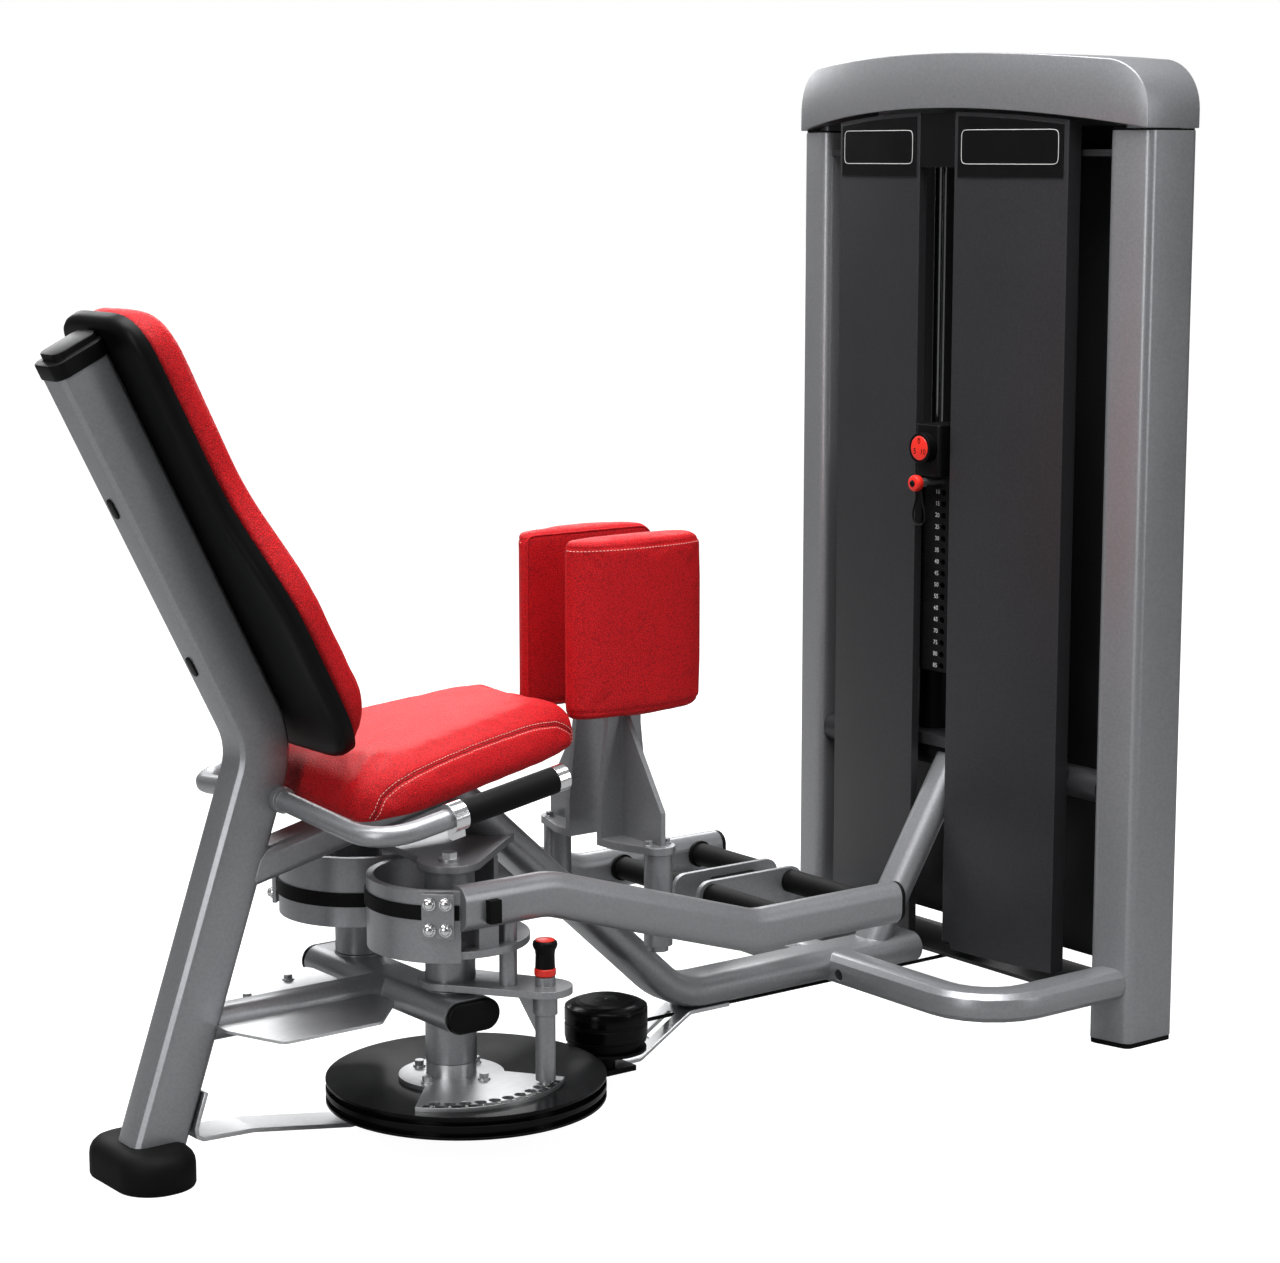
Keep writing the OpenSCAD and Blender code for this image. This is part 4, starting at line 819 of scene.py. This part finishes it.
def numerals(name, marks, finish, body):
    """Printed numbers as one piece: each mark is a number, its height in millimetres and its place."""
    whole = bmesh.new()
    for number, height, place in marks:
        line = bpy.data.curves.new("mark", "FONT")
        line.body = str(number)
        line.size = height / 700  # metres; a digit stands about 0.7 of the font's size high
        line.align_x = line.align_y = "CENTER"
        line.extrude = 0.00012
        line.resolution_u = 3
        holder = linked("mark", line)
        mesh = bpy.data.meshes.new_from_object(holder.evaluated_get(bpy.context.evaluated_depsgraph_get()))
        mesh.transform(place)
        whole.from_mesh(mesh)
        bpy.data.objects.remove(holder)
    fit_out(as_piece(name, whole), finish, body)


def facing_seat(x, y, z):
    """Stands print upright on a face that looks towards the seat."""
    turn = Matrix(((0, 0, -1), (-1, 0, 0), (0, 1, 0))).to_4x4()
    return Matrix.Translation(at(x, y, z)) @ turn


STACK_TOP, PLATE_PITCH, PLATES, STACK_FRONT = 841, 18.75, 16, 1500
numerals("plate_numbers", [(10 + 5 * i, 7, facing_seat(STACK_FRONT - 0.2, 14, STACK_TOP - (i + 0.5) * PLATE_PITCH))
                           for i in range(PLATES)], label_white, "frame")
numerals("dial_numbers", [(n, 9, facing_seat(DIAL_FRONT - 1.5, 11 * math.sin(a), DIAL_Z + 11 * math.cos(a)))
                          for n, a in ((0, 0), (5, math.radians(120)), (10, math.radians(240)))],
         abs_black, "addon_dial")

# Number band of the range limiter, beyond its row of holes
HUB, HOLE_START, HOLE_STEP, SECTOR_TOP = (471, -119.5), math.atan2(-117.5, 78), math.radians(8.5), 98


def on_sector(radius, angle, height):
    """A point on the range sector, round its hub and above its face."""
    return at(HUB[0] + radius * math.cos(angle), HUB[1] + radius * math.sin(angle), SECTOR_TOP + height)


BAND_SECTION = ((149.8, -0.2), (159.4, -0.2), (159.4, 0.5), (149.8, 0.5))
BAND_LEAD, BAND_SWEEP, BAND_STEPS = math.radians(5), math.radians(86.5), 60
band_shape = bmesh.new()
spread = [HOLE_START + BAND_LEAD - k * BAND_SWEEP / BAND_STEPS for k in range(BAND_STEPS + 1)]
corners = [[band_shape.verts.new(on_sector(r, a, h)) for r, h in BAND_SECTION] for a in spread]
for first, second in zip(corners, corners[1:]):
    for k in range(4):
        band_shape.faces.new((first[k], first[(k + 1) % 4], second[(k + 1) % 4], second[k]))
band_shape.faces.new(corners[0])
band_shape.faces.new(corners[-1])
bmesh.ops.recalc_face_normals(band_shape, faces=band_shape.faces)
fit_out(as_piece("limiter_band", band_shape), placard, "disc")
marks = []
for k in range(10):
    angle = HOLE_START - k * HOLE_STEP
    out = Vector((math.cos(angle), math.sin(angle), 0))
    turn = Matrix((out.cross(Vector((0, 0, 1))), out, (0, 0, 1))).transposed().to_4x4()
    marks.append((k + 1, 6.4, Matrix.Translation(on_sector(154.6, angle, 0.6)) @ turn))
numerals("limiter_numbers", marks, label_white, "disc")


# Placards: a thin printed frame on each, laid on the bowed front
BOW_R, BOW_X = 1267, 1474 + 1265


def on_front(y, z):
    """A point just off the bowed front of the tower."""
    return at(BOW_X - math.sqrt((BOW_R + 0.1) ** 2 - y * y), y, z)


frames = []
for y0, y1, z0, z1 in ((-244, -56, 1350, 1402), (56, 244, 1350, 1402)):
    frame_line = even_outline([(y0, z0), (y1, z0), (y1, z1), (y0, z1)], 4, 5)
    frames.append([on_front(p.x, p.y) for p in frame_line])
beads("placard_rules", frames, 0.0005, label_white, "frame")


def bolt_tree():
    """One fastener at every point, its axis along the point's own direction."""
    tree, enter = new_tree("dome_bolts", Bolt="Object", Finish="Material")
    spots = add(tree, "GeometryNodeMeshToPoints", {"Mesh": enter.outputs["Geometry"]})
    shape = add(tree, "GeometryNodeObjectInfo", {"Object": enter.outputs["Bolt"]})
    axis = add(tree, "GeometryNodeInputNamedAttribute", {"Name": "axis"}, data_type="FLOAT_VECTOR")
    turn = add(tree, "FunctionNodeAlignRotationToVector", {"Vector": axis.outputs[0]}, axis="Z")
    laid = add(tree, "GeometryNodeInstanceOnPoints",
               {"Points": spots.outputs[0], "Instance": shape.outputs["Geometry"], "Rotation": turn.outputs[0]})
    real = add(tree, "GeometryNodeRealizeInstances", {"Geometry": laid.outputs[0]})
    inked = add(tree, "GeometryNodeSetMaterial", {"Geometry": real.outputs[0], "Material": enter.outputs["Finish"]})
    add(tree, "NodeGroupOutput", {0: inked.outputs[0]})
    return tree


dome_bolts = bolt_tree()
bolt_shape = turned("bolt_shape", [(0, 0), (9, 0), (9.2, 0.8), (8.8, 4.2), (6.9, 4.6), (6.7, 7.4), (5.2, 9.6),
                                   (2.6, 10.5), (0, 10.7)], lambda p: Vector(p) / 1000, 24)


def bolts(name, spots, body):
    """Domed bolts of one body: each spot is a point of the drawing and the way the bolt faces."""
    mesh = bpy.data.meshes.new(name)
    mesh.from_pydata([at(*spot) for spot, _ in spots], [], [])
    facing = mesh.attributes.new("axis", "FLOAT_VECTOR", "POINT")
    for item, (_, way) in zip(facing.data, spots):
        item.vector = way
    piece = linked(name, mesh)
    run_tree(piece, dome_bolts, Bolt=bolt_shape, Finish=chrome)
    fit_out(piece, chrome, body)


CLAMP_HEADING, CLAMP_FACE = 229, 124.06  # round from the X axis in degrees, and out from the hub


def clamp_spots(side, level):
    """The four bolts of a belt clamp on the rim of its drum."""
    way = math.radians(CLAMP_HEADING)
    out = Vector((math.cos(way), math.sin(way), 0))
    along = Vector((-out.y, out.x, 0))
    found = []
    for across, rise in ((-11, -18), (11, -18), (-11, 18), (11, 18)):
        spot = Vector((*HUB, level + rise)) + out * CLAMP_FACE + along * across
        found.append(((spot.x, spot.y * side, spot.z), (out.x, out.y * side, 0)))
    return found


bolts("right_clamp_bolts", clamp_spots(1, 353), "right_arm")
bolts("left_clamp_bolts", clamp_spots(-1, 323), "left_arm")
bolts("cover_bolt", [((*PULLEY, 124), (0, 0, 1))], "frame")
bpy.data.objects.remove(bolt_shape)

# Stage

floor_mesh = bpy.data.meshes.new("studio_floor")
floor_mesh.from_pydata([(-30, -24, 0), (30, -24, 0), (30, 30, 0), (-30, 30, 0)], [], [(0, 1, 2, 3)])
floor = linked("studio_floor", floor_mesh)
# seamless paper: it glows white to the lens alone and is mid grey to the lights, so that little shines up from below
PAPER_GLOW = 0.96
floor_paper, floor_tree, floor_shader, floor_where = new_finish("pale_studio_paper")
mottle = add(floor_tree, "ShaderNodeTexNoise", {"Vector": floor_where, "Scale": per_mm(900)})
paper = add(floor_tree, "ShaderNodeMix", {0: mottle.outputs["Fac"], 6: linear("#8e8e8e"), 7: linear("#969696")},
            data_type="RGBA")
lens = add(floor_tree, "ShaderNodeLightPath")
lift = add(floor_tree, "ShaderNodeMath", {0: lens.outputs["Is Camera Ray"], 1: PAPER_GLOW}, operation="MULTIPLY")
add(floor_tree, floor_shader, {"Base Color": paper.outputs[2], "Roughness": 0.7, "Emission Strength": lift.outputs[0],
                               "Emission Color": linear("#ffffff")})
floor_mesh.materials.append(floor_paper)
